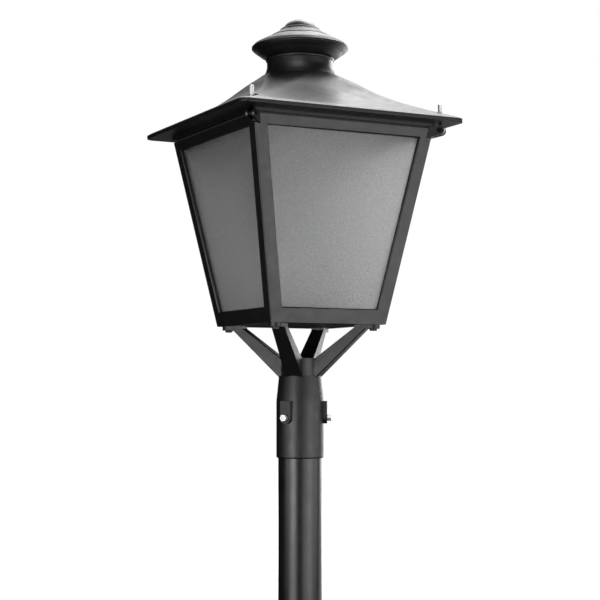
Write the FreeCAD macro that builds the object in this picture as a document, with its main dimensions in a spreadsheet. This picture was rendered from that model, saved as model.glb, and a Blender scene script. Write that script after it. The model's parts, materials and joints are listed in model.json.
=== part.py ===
import FreeCAD, Part
import math
import os
import re
import Sketcher

# A four-sided street lantern on the upper end of its post.
# Millimetres. The origin is the centre of the post's lower end, +Z runs up the post,
# and the wide face of the lantern looks towards -Y.

SIZES = {
    # post
    "post_dia": 88.9,
    "post_wall": 3.2,
    "post_stretch": 350.0,
    "post_insert": 105.0,
    "post_clearance": 0.5,
    # sleeve, cone and hub of the bracket
    "sleeve_wall": 3.45,
    "sleeve_length": 116.0,
    "sleeve_edge": 2.5,
    "cone_top_dia": 86.4,
    "cone_length": 51.0,
    "hub_dia": 78.0,
    "hub_length": 36.0,
    "wireway_dia": 56.0,
    # screw pads of the sleeve
    "screw_pad_width": 24.0,
    "screw_pad_stand": 7.1,
    "screw_pad_height": 34.0,
    "set_screw_dia": 8.0,
    "set_screw_across": 13.0,
    "set_screw_head": 8.0,
    "set_screw_proud": 4.5,
    "set_screw_tip_gap": 0.2,
    # arms and feet
    "hub_to_body": 67.0,
    "arm_root_height": 41.0,
    "arm_root_width": 37.0,
    "arm_sink": 10.0,
    "arm_top_reach": 120.0,
    "arm_top_depth": 27.0,
    "arm_edge": 2.5,
    "foot_inset": 19.2,
    "foot_width": 27.0,
    "foot_thickness": 8.0,
    "foot_bolt_dia": 8.0,
    "foot_bolt_across": 13.0,
    "foot_bolt_head": 5.3,
    "foot_bolt_bite": 12.0,
    "foot_washer_dia": 16.0,
    "foot_washer_thick": 1.6,
    # body frame
    "base_half": 129.2,
    "top_half": 200.0,
    "body_height": 392.0,
    "frame_wall": 6.5,
    "frame_edge": 2.5,
    "floor_thick": 8.0,
    "stile_width": 27.5,
    "top_rail": 19.5,
    "bottom_rail": 30.0,
    "reveal_bevel": 2.0,
    "flange_thick": 7.0,
    "flange_width": 16.0,
    "corner_boss_dia": 24.0,
    "corner_boss_height": 16.0,
    # panes and what holds them
    "pane_thick": 4.0,
    "pane_overlap": 4.5,
    "pane_side_lap": 12.0,
    "pane_rest": 0.3,
    "seal_thick": 1.5,
    "clamp_size": 11.0,
    "clamp_chamfer": 6.0,
    "clamp_end_gap": 12.0,
    "clamp_screw_dia": 4.0,
    "clamp_screw_head": 7.0,
    "clamp_screw_rise": 2.8,
    "clamp_screw_bite": 4.5,
    "clamp_screw_inset": 60.0,
    # cable gland in the floor
    "gland_x": -12.0,
    "gland_y": 62.0,
    "gland_thread": 16.0,
    "gland_across": 20.0,
    "gland_hex": 5.0,
    "gland_dome": 9.0,
    "gland_bore": 8.0,
    "gland_nut": 5.0,
    # gasket and hinge
    "gasket_gap": 4.0,
    "gasket_width": 10.0,
    "gasket_inset": 4.0,
    "hinge_out": 11.0,
    "hinge_drop": 4.0,
    "hinge_spread": 250.0,
    "hinge_barrel": 20.0,
    "hinge_knuckle": 14.0,
    "hinge_cheek": 8.0,
    "hinge_side_gap": 0.5,
    "hinge_pin_dia": 8.0,
    "running_gap": 0.05,
    # fork lugs, barrel nuts and closing screws
    "closing_out": 9.5,
    "fork_ear_dia": 20.0,
    "fork_ear_thick": 4.5,
    "fork_gap": 9.0,
    "barrel_dia": 12.0,
    "barrel_socket_dia": 7.0,
    "barrel_socket": 3.5,
    "closing_dia": 6.0,
    "closing_clearance": 0.6,
    "closing_seat": 5.0,
    "closing_ledge": 27.0,
    "closing_collar_dia": 10.4,
    "closing_collar": 3.0,
    "closing_waist_dia": 8.6,
    "closing_waist": 4.0,
    "closing_head_dia": 9.8,
    "closing_head": 19.5,
    "closing_round": 2.2,
    "closing_tail": 7.0,
    # roof
    "eave_overhang": 47.6,
    "eave_corner": 20.0,
    "eave_edge": 1.5,
    "lip_height": 8.0,
    "soffit_thick": 4.0,
    "rim_width": 8.0,
    "skirt_over": 3.0,
    "skirt_wall": 12.0,
    "skirt_height": 6.0,
    "roof_rise": 103.0,
    "roof_top_dia": 164.0,
    "roof_skin": 3.0,
    "pillar_offset": 120.0,
    "pillar_dia": 14.0,
    # chimney neck and cap
    "neck_dia": 137.0,
    "neck_ledge": 6.0,
    "neck_foot_rise": 22.0,
    "neck_height": 40.0,
    "neck_bore": 124.0,
    "neck_bead": 2.0,
    "cap_dia": 200.0,
    "cap_wall": 2.5,
    "pan_rise": 22.0,
    "cap_roll": 2.0,
    "cap_shoulder": 9.0,
    "cap_crown_rise": 13.0,
    "cap_step_dia": 122.0,
    "cap_step": 1.5,
    "cap_collar_dia": 76.0,
    "cap_collar_rise": 16.5,
    "knob_dia": 67.0,
    "knob_edge": 2.0,
    "knob_rise": 17.0,
    "knob_flat_dia": 31.0,
    # tie rod
    "tie_dia": 8.0,
    "tie_bore_gap": 0.3,
    "tie_across": 13.0,
    "tie_nut_height": 6.5,
    "tie_end": 4.0,
    "tie_bite": 11.0,
    "bridge_seat": 10.0,
    "bridge_width": 24.0,
    "bridge_thick": 5.0,
    # gear tray and what is on it
    "tray_half": 140.0,
    "tray_thick": 2.0,
    "tray_lift": 5.0,
    "tray_screw_dia": 5.0,
    "tray_screw_across": 8.0,
    "tray_screw_head": 3.5,
    "tray_screw_bite": 10.0,
    "ballast_length": 110.0,
    "ballast_width": 62.0,
    "ballast_height": 50.0,
    "ballast_x": -20.0,
    "ballast_y": -48.0,
    "igniter_length": 76.0,
    "igniter_width": 32.0,
    "igniter_height": 28.0,
    "igniter_x": 30.0,
    "igniter_y": 62.0,
    "terminal_length": 56.0,
    "terminal_width": 22.0,
    "terminal_height": 18.0,
    "terminal_x": -62.0,
    "terminal_y": 62.0,
    "gear_foot": 12.0,
    "gear_foot_thick": 2.0,
    "capacitor_dia": 35.0,
    "capacitor_height": 60.0,
    "capacitor_x": 82.0,
    "capacitor_y": -20.0,
    # reflector, lamp holder and lamp
    "reflector_plate": 1.5,
    "reflector_bore": 40.0,
    "reflector_flat": 140.0,
    "reflector_dia": 300.0,
    "reflector_drop": 22.0,
    "holder_flange_width": 8.0,
    "holder_flange": 4.0,
    "holder_dia": 46.0,
    "holder_height": 54.0,
    "socket_gap": 0.2,
    "socket_depth": 26.0,
    "lamp_base_dia": 27.0,
    "lamp_neck_dia": 36.0,
    "lamp_neck": 24.0,
    "lamp_dia": 76.0,
    "lamp_length": 152.0,
}

# Heights and half widths that follow from the sizes above.
DERIVED = {
    "post_top": "post_stretch + post_insert",
    "sleeve_top": "post_stretch + sleeve_length",
    "cone_top": "sleeve_top + cone_length",
    "hub_top": "cone_top + hub_length",
    "body_base": "hub_top + hub_to_body",
    "body_top": "body_base + body_height",
    "flare": "((top_half - base_half) / body_height)",
    "slope_cos": "(1 / sqrt(1 + flare * flare))",
    "corner_cos": "(1 / sqrt(1 + 2 * flare * flare))",
    "glazing": "((seal_thick + pane_thick) / slope_cos)",
    "pane_low": "corner_boss_height + pane_rest",
    "pane_high": "body_height - top_rail + pane_overlap",
    "clamp_high": "body_height - flange_thick - clamp_end_gap",
    "skirt_low": "body_top + gasket_gap",
    "soffit": "skirt_low + skirt_height",
    "lip_top": "soffit + lip_height",
    "roof_top": "lip_top + roof_rise",
    "neck_top": "roof_top + neck_height",
    "cap_rim": "neck_top + pan_rise",
    "cap_top": "cap_rim + cap_roll + cap_shoulder + cap_crown_rise + cap_step + cap_collar_rise",
    "hinge_height": "body_top - hinge_drop",
    "seat_height": "lip_top + closing_seat",
    "tray_low": "soffit + tray_lift",
    "tray_top": "tray_low + tray_thick",
    "plate_low": "tray_low - reflector_plate",
    "holder_low": "plate_low - holder_flange - holder_height",
    "bridge_top": "roof_top - roof_skin",
    "bridge_low": "bridge_top - bridge_thick",
    "sleeve_bore": "post_dia / 2 + post_clearance",
    "set_screw_height": "sleeve_top - screw_pad_height",
    "root2": "sqrt(2)",
    "sleeve_dia": "2 * (sleeve_bore + sleeve_wall)",
    "screw_pad_reach": "sleeve_dia / 2 + screw_pad_stand",
    "foot_offset": "base_half - foot_inset",
    "flange_half": "top_half - flange_width",
    "gasket_half": "top_half - gasket_inset",
    "skirt_half": "top_half + skirt_over",
    "eave_half": "top_half + eave_overhang",
    "hinge_reach": "top_half + hinge_out",
    "closing_offset": "top_half + closing_out",
    "fork_root": "(top_half - flare * top_rail - frame_wall) * root2",
    "neck_foot_dia": "roof_top_dia - 2 * neck_ledge",
    "bridge_length": "neck_bore + 2 * bridge_seat",
    "socket_dia": "lamp_base_dia + 2 * socket_gap",
    "holder_flange_dia": "holder_dia + 2 * holder_flange_width",
    "holder_screw_ring": "holder_dia + 2 * holder_flange_width - tray_screw_across - 2",
}

# The bell of the roof: share of its rise and share of its reach from the top ring to the eave.
ROOF_STATIONS = [(0.0, 1.0), (0.083, 0.896), (0.228, 0.673), (0.413, 0.445), (0.583, 0.287),
                 (0.741, 0.181), (0.87, 0.095), (1.0, 0.0)]
ROOF_ROUNDING = 1.8

HOLE_GAP = 0.1
SQUARE_CORNERS = [(1, 1), (-1, 1), (-1, -1), (1, -1)]
SIDES = {"front": 0, "right": 90, "rear": 180, "left": 270}

doc = FreeCAD.newDocument("street_lantern")
sheet = doc.addObject("Spreadsheet::Sheet", "sizes")
for row, (alias, size) in enumerate(SIZES.items(), 1):
    sheet.set(f"A{row}", alias)
    sheet.set(f"B{row}", str(size))
    sheet.setAlias(f"B{row}", alias)
doc.recompute()


def cell(text):
    """The expression with each named size written as its cell in the sheet."""
    def swap(match):
        word = match.group(0)
        if word in DERIVED:
            return "(" + cell(DERIVED[word]) + ")"
        return "sizes." + word if word in SIZES else word
    return re.sub(r"[a-z_][a-z0-9_]*", swap, str(text))


def number(text):
    found = sheet.evalExpression(cell(text))
    return float(getattr(found, "Value", found))


def bind(item, **places):
    for place, text in places.items():
        item.setExpression(place.replace("__", "."), cell(text))


def half_at(rise):
    """Outer half width of the body at a height above its base."""
    return f"(base_half + flare * ({rise}))"


def new_body(label):
    return doc.addObject("PartDesign::Body", label)


def sketch(body, label, role="XY_Plane", lift=None, spin=None, shift=None, tilt=None):
    """A sketch on an origin plane: lifted along its normal, shifted up it, turned about +Z."""
    drawn = body.newObject("Sketcher::SketchObject", label)
    plane = next(item for item in body.Origin.OriginFeatures if item.Role == role)
    drawn.AttachmentSupport = [(plane, "")]
    drawn.MapMode = "FlatFace"
    if spin is not None:
        axis = FreeCAD.Vector(0, 0, 1) if role == "XY_Plane" else FreeCAD.Vector(0, 1, 0)
        turned = FreeCAD.Rotation(axis, spin)
        drawn.AttachmentOffset = FreeCAD.Placement(FreeCAD.Vector(), turned)
    if tilt is not None:
        leaned = FreeCAD.Rotation(FreeCAD.Vector(1, 0, 0), number(tilt))
        drawn.AttachmentOffset = FreeCAD.Placement(FreeCAD.Vector(), leaned)
        drawn.setExpression("AttachmentOffset.Rotation.Angle", cell(tilt))
    if lift is not None:
        if spin is not None and role != "XY_Plane":
            across = math.sin(math.radians(spin))
            along = math.cos(math.radians(spin))
            drawn.setExpression("AttachmentOffset.Base.x", f"({cell(lift)}) * {across:.9f}")
            drawn.setExpression("AttachmentOffset.Base.z", f"({cell(lift)}) * {along:.9f}")
        else:
            drawn.setExpression("AttachmentOffset.Base.z", cell(lift))
    if shift is not None:
        drawn.setExpression("AttachmentOffset.Base.y", cell(shift))
    return drawn


def hold(drawn, text, kind, *where):
    """A constraint of the sketch whose value is an expression of the sizes."""
    index = drawn.addConstraint(Sketcher.Constraint(kind, *where, number(text)))
    drawn.setExpression(f"Constraints[{index}]", cell(text))


def pin_point(drawn, geometry, end, x, y):
    hold(drawn, x, "DistanceX", -1, 1, geometry, end)
    hold(drawn, y, "DistanceY", -1, 1, geometry, end)


def arc_between(start, end, radius, side):
    """The arc from start to end that bulges to the right (1) or the left (-1) of the way."""
    chord = end - start
    middle = (start + end) / 2
    radius = radius or chord.Length / 2
    across = FreeCAD.Vector(chord.y, -chord.x, 0).normalize()
    inset = math.sqrt(max(radius ** 2 - (chord.Length / 2) ** 2, 0))
    centre = middle - across * inset * side
    first = math.atan2(start.y - centre.y, start.x - centre.x)
    last = math.atan2(end.y - centre.y, end.x - centre.x)
    if side < 0:
        first, last = last, first
    circle = Part.Circle(centre, FreeCAD.Vector(0, 0, 1), radius)
    return Part.ArcOfCircle(circle, first, last)


def outline(drawn, points, arcs=None):
    """A closed outline through points; arcs gives (radius, side) for the run after a point,
    where None stands for a half circle."""
    arcs = arcs or {}
    places = [FreeCAD.Vector(number(x), number(y), 0) for x, y in points]
    starts = []
    ends = []
    for index, place in enumerate(places):
        following = places[(index + 1) % len(places)]
        if index in arcs:
            radius, side = arcs[index]
            curve = arc_between(place, following, radius and number(radius), side)
            starts.append(1 if side > 0 else 2)
            ends.append(2 if side > 0 else 1)
        else:
            curve = Part.LineSegment(place, following)
            starts.append(1)
            ends.append(2)
        drawn.addGeometry(curve, False)
    first = drawn.GeometryCount - len(points)
    for index in range(len(points)):
        following = (index + 1) % len(points)
        rule = Sketcher.Constraint("Coincident", first + index, ends[index],
                                   first + following, starts[following])
        drawn.addConstraint(rule)
    for index, (x, y) in enumerate(points):
        pin_point(drawn, first + index, starts[index], x, y)
        if index not in arcs:
            continue
        if arcs[index][0] is not None:
            hold(drawn, arcs[index][0], "Radius", first + index)
            continue
        following = (index + 1) % len(points)
        level = abs(places[following].x - places[index].x) > 0.001
        way = 1 if level else 0
        middle = f"(({points[index][way]}) + ({points[following][way]})) / 2"
        kind = "DistanceY" if level else "DistanceX"
        hold(drawn, middle, kind, -1, 1, first + index, 3)
    return drawn


def rounded_square(drawn, half, radius):
    flat = f"(({half}) - ({radius}))"
    corners = [(flat, f"-({half})"), (half, f"-{flat}"), (half, flat), (flat, half),
               (f"-{flat}", half), (f"-({half})", flat), (f"-({half})", f"-{flat}"),
               (f"-{flat}", f"-({half})")]
    return outline(drawn, corners, {index: (radius, 1) for index in (0, 2, 4, 6)})


def circles(drawn, spots):
    """Circles given as (x, y, radius)."""
    for x, y, radius in spots:
        centre = FreeCAD.Vector(number(x), number(y), 0)
        ring = Part.Circle(centre, FreeCAD.Vector(0, 0, 1), number(radius))
        index = drawn.addGeometry(ring, False)
        pin_point(drawn, index, 3, x, y)
        hold(drawn, radius, "Radius", index)
    return drawn


def feature(body, kind, label, profile, **places):
    made = body.newObject("PartDesign::" + kind, label)
    made.Profile = profile
    bind(made, **places)
    profile.Visibility = False
    return made


def pad(body, profile, length, both=False, down=False):
    made = feature(body, "Pad", profile.Name + "_pad", profile, Length=length)
    made.SideType = "Symmetric" if both else "One side"
    made.Reversed = down
    return made


def pocket(body, profile, length=None, both=False, up=False):
    made = feature(body, "Pocket", profile.Name + "_cut", profile)
    made.SideType = "Symmetric" if both else "One side"
    if length is None:
        made.Type = "ThroughAll"
    else:
        bind(made, Length=length)
    made.Reversed = up
    return made


def revolve(body, profile, cut=False):
    made = feature(body, "Groove" if cut else "Revolution", profile.Name + "_turn", profile)
    made.ReferenceAxis = (profile, ["V_Axis"])
    made.Angle = 360
    return made


def loft(body, profiles, cut=False, ruled=False):
    made = feature(body, "SubtractiveLoft" if cut else "AdditiveLoft",
                   profiles[0].Name + "_loft", profiles[0])
    made.Sections = profiles[1:]
    made.Ruled = ruled
    return made


def around(body, originals, count):
    """Copies of the features at even turns about +Z."""
    made = body.newObject("PartDesign::PolarPattern", originals[0].Name + "_ring")
    made.Originals = originals
    axis = next(item for item in body.Origin.OriginFeatures if item.Role == "Z_Axis")
    made.Axis = (axis, [""])
    made.Angle = 360
    made.Occurrences = count
    body.Tip = made
    return made


def mirrored(body, originals, role):
    made = body.newObject("PartDesign::Mirrored", originals[0].Name + "_mirror")
    made.Originals = originals
    plane = next(item for item in body.Origin.OriginFeatures if item.Role == role)
    made.MirrorPlane = (plane, [""])
    body.Tip = made
    return made


def soften(body, kind, size, chosen, label):
    """A fillet or chamfer on the edges of the body's last feature that pass the test."""
    doc.recompute()
    base = body.Tip
    names = [f"Edge{index}" for index, edge in enumerate(base.Shape.Edges, 1) if chosen(edge)]
    made = body.newObject("PartDesign::" + kind, label)
    made.Base = (base, names)
    made.setExpression("Radius" if kind == "Fillet" else "Size", cell(size))
    return made


def place(item, x="0", y="0", z="0", axis=None, angle=None):
    if axis is not None:
        turn = FreeCAD.Rotation(FreeCAD.Vector(*axis), number(angle))
        item.Placement = FreeCAD.Placement(FreeCAD.Vector(), turn)
        item.setExpression("Placement.Rotation.Angle", cell(angle))
    bind(item, Placement__Base__x=x, Placement__Base__y=y, Placement__Base__z=z)
    return item


def rod(label, radius, height, **where):
    made = doc.addObject("Part::Cylinder", label)
    bind(made, Radius=radius, Height=height)
    return place(made, **where)


def hexagon(label, across, height, **where):
    made = doc.addObject("Part::Prism", label)
    made.Polygon = 6
    bind(made, Circumradius=f"({across}) / sqrt(3)", Height=height)
    return place(made, **where)


def block(label, size, corner):
    made = doc.addObject("Part::Box", label)
    bind(made, Length=size[0], Width=size[1], Height=size[2])
    return place(made, *corner)


def fused(label, items):
    made = doc.addObject("Part::MultiFuse", label)
    made.Shapes = items
    made.Refine = True
    return made


def cut(label, base, tool):
    made = doc.addObject("Part::Cut", label)
    made.Base = base
    made.Tool = tool
    return made


def group(label, items):
    made = doc.addObject("Part::Compound", label)
    made.Links = items
    return made


def screw(label, head, head_height, shank, length, hexed=True):
    """A screw along +Z: its head hangs below the origin and its shank stands above it."""
    low = f"-({head_height})"
    if hexed:
        cap = hexagon(label + "_head", head, head_height, z=low)
    else:
        cap = rod(label + "_head", f"({head}) / 2", head_height, z=low)
    shaft = rod(label + "_shank", f"({shank}) / 2", f"({length}) + ({head_height}) / 2",
                z=f"-({head_height}) / 2")
    return fused(label, [cap, shaft])


def mirror_text(sign, text):
    return f"({text})" if sign > 0 else f"-({text})"


def post_tube():
    tube = new_body("post_tube")
    ring = sketch(tube, "post_ring")
    circles(ring, [("0", "0", "post_dia / 2"), ("0", "0", "post_dia / 2 - post_wall")])
    pad(tube, ring, "post_top")
    return tube


def bar_section(drawn, near, far, half):
    """Section of an arm between two reaches along x, with its corners cut off."""
    edge = "arm_edge"
    return outline(drawn, [
        (f"{far} - {edge}", f"-{half}"), (far, f"-{half} + {edge}"), (far, f"{half} - {edge}"),
        (f"{far} - {edge}", half), (f"{near} + {edge}", half), (near, f"{half} - {edge}"),
        (near, f"-{half} + {edge}"), (f"{near} + {edge}", f"-{half}")])


def bracket_casting():
    """Sleeve, cone and hub with three screw pads, and four arms that end in drilled feet."""
    casting = new_body("bracket_casting")
    core = sketch(casting, "bracket_core", "XZ_Plane")
    outline(core, [("0", "post_stretch"), ("sleeve_dia / 2 - sleeve_edge", "post_stretch"),
                   ("sleeve_dia / 2", "post_stretch + sleeve_edge"),
                   ("sleeve_dia / 2", "sleeve_top"), ("cone_top_dia / 2", "cone_top"),
                   ("hub_dia / 2", "cone_top"), ("hub_dia / 2", "hub_top"), ("0", "hub_top")])
    revolve(casting, core)

    width = "(screw_pad_width / 2)"
    face = sketch(casting, "screw_pad", "XZ_Plane")
    outline(face, [(f"-{width}", "set_screw_height"), (width, "set_screw_height"),
                   (width, "sleeve_top"), (f"-{width}", "sleeve_top")], {0: (None, 1)})
    boss = pad(casting, face, "screw_pad_reach", down=True)
    around(casting, [boss], 3)

    near = "arm_top_reach"
    far = "(arm_top_reach + arm_top_depth)"
    crotch = "(cone_top_dia / 2)"
    rise = "(body_base - foot_thickness / 2 - cone_top)"
    # how far the upper and lower edges of an arm run outwards for each millimetre of rise
    upper = f"(({near} - {crotch}) / ({rise} - arm_root_height))"
    lower = f"(({far} - {crotch}) / {rise})"
    inner = f"({crotch} - (arm_root_height + arm_sink) * {upper})"
    outer = f"({crotch} - arm_sink * {lower})"
    root = sketch(casting, "arm_root", lift="cone_top - arm_sink", spin=45)
    bar_section(root, inner, outer, "(arm_root_width / 2)")
    top = sketch(casting, "arm_top", lift="body_base - foot_thickness / 2", spin=45)
    half = "(foot_width / 2)"
    bar_section(top, near, far, half)
    arm = loft(casting, [root, top], ruled=True)
    sole = sketch(casting, "arm_foot", lift="body_base", spin=45)
    heel = "(foot_offset * root2)"
    outline(sole, [(near, f"-{half}"), (heel, f"-{half}"), (heel, half), (near, half)],
            {1: (None, 1)})
    foot = pad(casting, sole, "foot_thickness", down=True)
    around(casting, [arm, foot], 4)

    bore = sketch(casting, "bracket_bore", "XZ_Plane")
    outline(bore, [("0", "post_stretch"), ("sleeve_bore", "post_stretch"),
                   ("sleeve_bore", "post_top"), ("wireway_dia / 2", "post_top"),
                   ("wireway_dia / 2", "hub_top"), ("0", "hub_top")])
    revolve(casting, bore, cut=True)
    tapped = sketch(casting, "set_screw_hole", "XZ_Plane")
    circles(tapped, [("0", "set_screw_height", f"set_screw_dia / 2 + {HOLE_GAP}")])
    hole = pocket(casting, tapped, "screw_pad_reach")
    around(casting, [hole], 3)
    drilled = sketch(casting, "foot_hole", lift="body_base", spin=45)
    circles(drilled, [(heel, "0", "foot_bolt_dia / 2 + 0.5")])
    passage = pocket(casting, drilled, "foot_thickness")
    around(casting, [passage], 4)
    return casting


def set_screws():
    """Hexagon screws that press on the post through the sleeve's pads."""
    made = []
    reach = "(screw_pad_reach + set_screw_proud)"
    for index, turn in enumerate((90, 210, 330)):
        out_x = math.cos(math.radians(turn))
        out_y = math.sin(math.radians(turn))
        item = screw(f"set_screw_{index}", "set_screw_across", "set_screw_head",
                     "set_screw_dia", f"{reach} - post_dia / 2 - set_screw_tip_gap")
        made.append(place(item, f"{out_x:.9f} * {reach}", f"{out_y:.9f} * {reach}",
                          "set_screw_height", (out_y, -out_x, 0), "90"))
    return group("set_screws", made)


def foot_hardware():
    bolts = []
    washers = []
    under = "body_base - foot_thickness - foot_washer_thick"
    for index, (along, across) in enumerate(SQUARE_CORNERS):
        x = mirror_text(along, "foot_offset")
        y = mirror_text(across, "foot_offset")
        bolt = screw(f"foot_bolt_{index}", "foot_bolt_across", "foot_bolt_head", "foot_bolt_dia",
                     "foot_washer_thick + foot_thickness + foot_bolt_bite")
        bolts.append(place(bolt, x, y, under))
        disc = rod(f"foot_disc_{index}", "foot_washer_dia / 2", "foot_washer_thick")
        hole = rod(f"foot_disc_hole_{index}", "foot_bolt_dia / 2 + 0.3", "foot_washer_thick")
        washers.append(place(cut(f"foot_washer_{index}", disc, hole), x, y, under))
    return [group("foot_bolts", bolts), group("foot_washers", washers)]


def window(body, label, role):
    """The see-through opening of two opposite faces."""
    low = "body_base + bottom_rail"
    high = "body_top - top_rail"
    low_half = half_at("bottom_rail") + " - stile_width"
    high_half = half_at("body_height - top_rail") + " - stile_width"
    drawn = sketch(body, label, role)
    outline(drawn, [(f"-({low_half})", low), (low_half, low), (high_half, high),
                    (f"-({high_half})", high)])
    return pocket(body, drawn, both=True)


def on_face(edge):
    """Whether an edge of a window lies in the outer face of the body."""
    middle = edge.valueAt((edge.FirstParameter + edge.LastParameter) / 2)
    rise = middle.z - number("body_base")
    reach = max(abs(middle.x), abs(middle.y))
    outside = abs(reach - number(half_at(rise))) < 0.01
    within = 1 < rise < number("body_height") - 1
    clear = min(abs(middle.x), abs(middle.y)) < number(half_at(rise)) - number("stile_width") + 1
    return outside and within and clear


def body_frame():
    """Floor, four stiles and two rails of the body with the lugs of the roof, one casting."""
    frame = new_body("frame_blank")
    foot = sketch(frame, "frame_foot", lift="body_base")
    rounded_square(foot, "base_half", "frame_edge")
    head = sketch(frame, "frame_head", lift="body_top")
    rounded_square(head, "top_half", "frame_edge")
    loft(frame, [foot, head], ruled=True)

    inner_low = sketch(frame, "cavity_low", lift="body_base + floor_thick")
    rounded_square(inner_low, half_at("floor_thick") + " - frame_wall", "frame_edge")
    inner_high = sketch(frame, "cavity_high", lift="body_top - flange_thick")
    rounded_square(inner_high, half_at("body_height - flange_thick") + " - frame_wall",
                   "frame_edge")
    loft(frame, [inner_low, inner_high], cut=True, ruled=True)
    mouth = sketch(frame, "frame_mouth", lift="body_top")
    rounded_square(mouth, "flange_half", "3 * frame_edge")
    pocket(frame, mouth, "flange_thick + 1")
    window(frame, "front_window", "XZ_Plane")
    window(frame, "side_window", "YZ_Plane")
    soften(frame, "Chamfer", "reveal_bevel", on_face, "reveals")

    bosses = sketch(frame, "corner_bosses", lift="body_base + floor_thick / 2")
    spots = [(mirror_text(along, "foot_offset"), mirror_text(across, "foot_offset"))
             for along, across in SQUARE_CORNERS]
    circles(bosses, [(x, y, "corner_boss_dia / 2") for x, y in spots])
    pad(frame, bosses, "corner_boss_height - floor_thick / 2")
    tapped = sketch(frame, "foot_bolt_holes", lift="body_base")
    circles(tapped, [(x, y, f"foot_bolt_dia / 2 + {HOLE_GAP}") for x, y in spots])
    pocket(frame, tapped, "foot_bolt_bite + 1", up=True)
    entry = sketch(frame, "gland_hole", lift="body_base")
    circles(entry, [("gland_x", "gland_y", f"gland_thread / 2 + {HOLE_GAP}")])
    pocket(frame, entry, "floor_thick", up=True)

    fork_lugs(frame)
    hinge_cheeks(frame)
    doc.recompute()
    drills = [drill for drill, _ in clamp_fasteners("frame_drill", HOLE_GAP / 2, True)]
    return cut("body_frame", frame, group("clamp_drillings", drills))


def fork_lugs(frame):
    """Two ears on each front corner, drilled across for the barrel nut."""
    ear = "(fork_ear_dia / 2)"
    reach = "(closing_offset * root2)"
    for turn, name in ((-45, "right"), (-135, "left")):
        lug = sketch(frame, f"fork_{name}", "XZ_Plane", spin=-turn if turn == -45 else 135)
        lug.AttachmentOffset = FreeCAD.Placement(
            FreeCAD.Vector(), FreeCAD.Rotation(FreeCAD.Vector(0, 1, 0), turn))
        outline(lug, [("fork_root", "body_top - top_rail"), (reach, f"hinge_height - {ear}"),
                      (reach, f"hinge_height + {ear}"), ("gasket_half * root2 + 3", "body_top"),
                      ("fork_root", "body_top")],
                {1: (None, 1)})
        pad(frame, lug, "fork_gap + 2 * fork_ear_thick", both=True)
        slot = sketch(frame, f"fork_slot_{name}", "XZ_Plane")
        slot.AttachmentOffset = FreeCAD.Placement(
            FreeCAD.Vector(), FreeCAD.Rotation(FreeCAD.Vector(0, 1, 0), turn))
        inner = "(top_half * root2)"
        outline(slot, [(inner, f"hinge_height - {ear} - 12"), (f"{reach} + 2 * {ear}",
                       f"hinge_height - {ear} - 12"), (f"{reach} + 2 * {ear}", "body_top + 12"),
                       (inner, "body_top + 12")])
        pocket(frame, slot, "fork_gap", both=True)
        eye = sketch(frame, f"fork_eye_{name}", "XZ_Plane")
        eye.AttachmentOffset = FreeCAD.Placement(
            FreeCAD.Vector(), FreeCAD.Rotation(FreeCAD.Vector(0, 1, 0), turn))
        circles(eye, [(reach, "hinge_height", f"barrel_dia / 2 + {HOLE_GAP}")])
        pocket(frame, eye, "fork_gap + 4 * fork_ear_thick", both=True)


def hinge_cheeks(frame):
    """Pairs of cheeks on the rear top rail, drilled for the hinge pins."""
    barrel = "(hinge_barrel / 2)"
    gap = "(hinge_knuckle / 2 + hinge_side_gap)"
    for sign, name in ((1, "right"), (-1, "left")):
        for side, suffix in ((1, "outer"), (-1, "inner")):
            middle = f"hinge_spread / 2 + {side} * ({gap} + hinge_cheek / 2)"
            cheek = sketch(frame, f"cheek_{name}_{suffix}", "YZ_Plane",
                           lift=mirror_text(sign, middle))
            outline(cheek, [("top_half - frame_wall", "body_top - top_rail"),
                            ("hinge_reach", f"hinge_height - {barrel}"),
                            ("hinge_reach", f"hinge_height + {barrel}"),
                            ("hinge_reach - 6", "body_top"),
                            ("top_half - frame_wall", "body_top")], {1: (None, 1)})
            pad(frame, cheek, "hinge_cheek", both=True)
    bore = sketch(frame, "hinge_bore", "YZ_Plane")
    circles(bore, [("hinge_reach", "hinge_height", "hinge_pin_dia / 2 + running_gap")])
    pocket(frame, bore, "hinge_spread + 4 * hinge_barrel", both=True)


def pane_sketch(body, label, depth):
    """A sketch on the inside of the front face, at a depth below the wall, from the pane's foot."""
    tilt = "atan(flare)"
    lift = half_at("pane_low") + f" - frame_wall - ({depth}) / slope_cos"
    return sketch(body, label, "XZ_Plane", lift=lift, shift="body_base + pane_low", tilt=tilt)


def pane_edge(rise, inset):
    return f"({half_at(rise)} - stile_width + ({inset}))"


def pane_outline(drawn, low, high, inset):
    """A trapezoid between two heights above the base, measured up the slope."""
    foot = f"(({low}) - (pane_low)) / slope_cos"
    head = f"(({high}) - (pane_low)) / slope_cos"
    low_half = pane_edge(low, inset)
    high_half = pane_edge(high, inset)
    outline(drawn, [(f"-{low_half}", foot), (low_half, foot), (high_half, head),
                    (f"-{high_half}", head)])


def glazing():
    """The four panes and the rubber frames between them and the body."""
    made = []
    for side, turn in SIDES.items():
        pane = new_body("pane_" + side)
        sheet_face = pane_sketch(pane, f"pane_{side}_face", "seal_thick")
        pane_outline(sheet_face, "pane_low", "pane_high", "pane_side_lap")
        pad(pane, sheet_face, "pane_thick", down=True)
        seal = new_body("seal_" + side)
        ring = pane_sketch(seal, f"seal_{side}_face", "0")
        pane_outline(ring, "pane_low", "pane_high", "pane_side_lap")
        pane_outline(ring, "bottom_rail", "body_height - top_rail", "0")
        pad(seal, ring, "seal_thick", down=True)
        for item in (pane, seal):
            item.Placement = FreeCAD.Placement(
                FreeCAD.Vector(), FreeCAD.Rotation(FreeCAD.Vector(0, 0, 1), turn))
            made.append(item)
    return made


def clamp_face(rise):
    """Distance from the axis to the faces of a clamp bar that press on the panes."""
    return f"({half_at(rise)} - frame_wall - glazing)"


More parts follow.
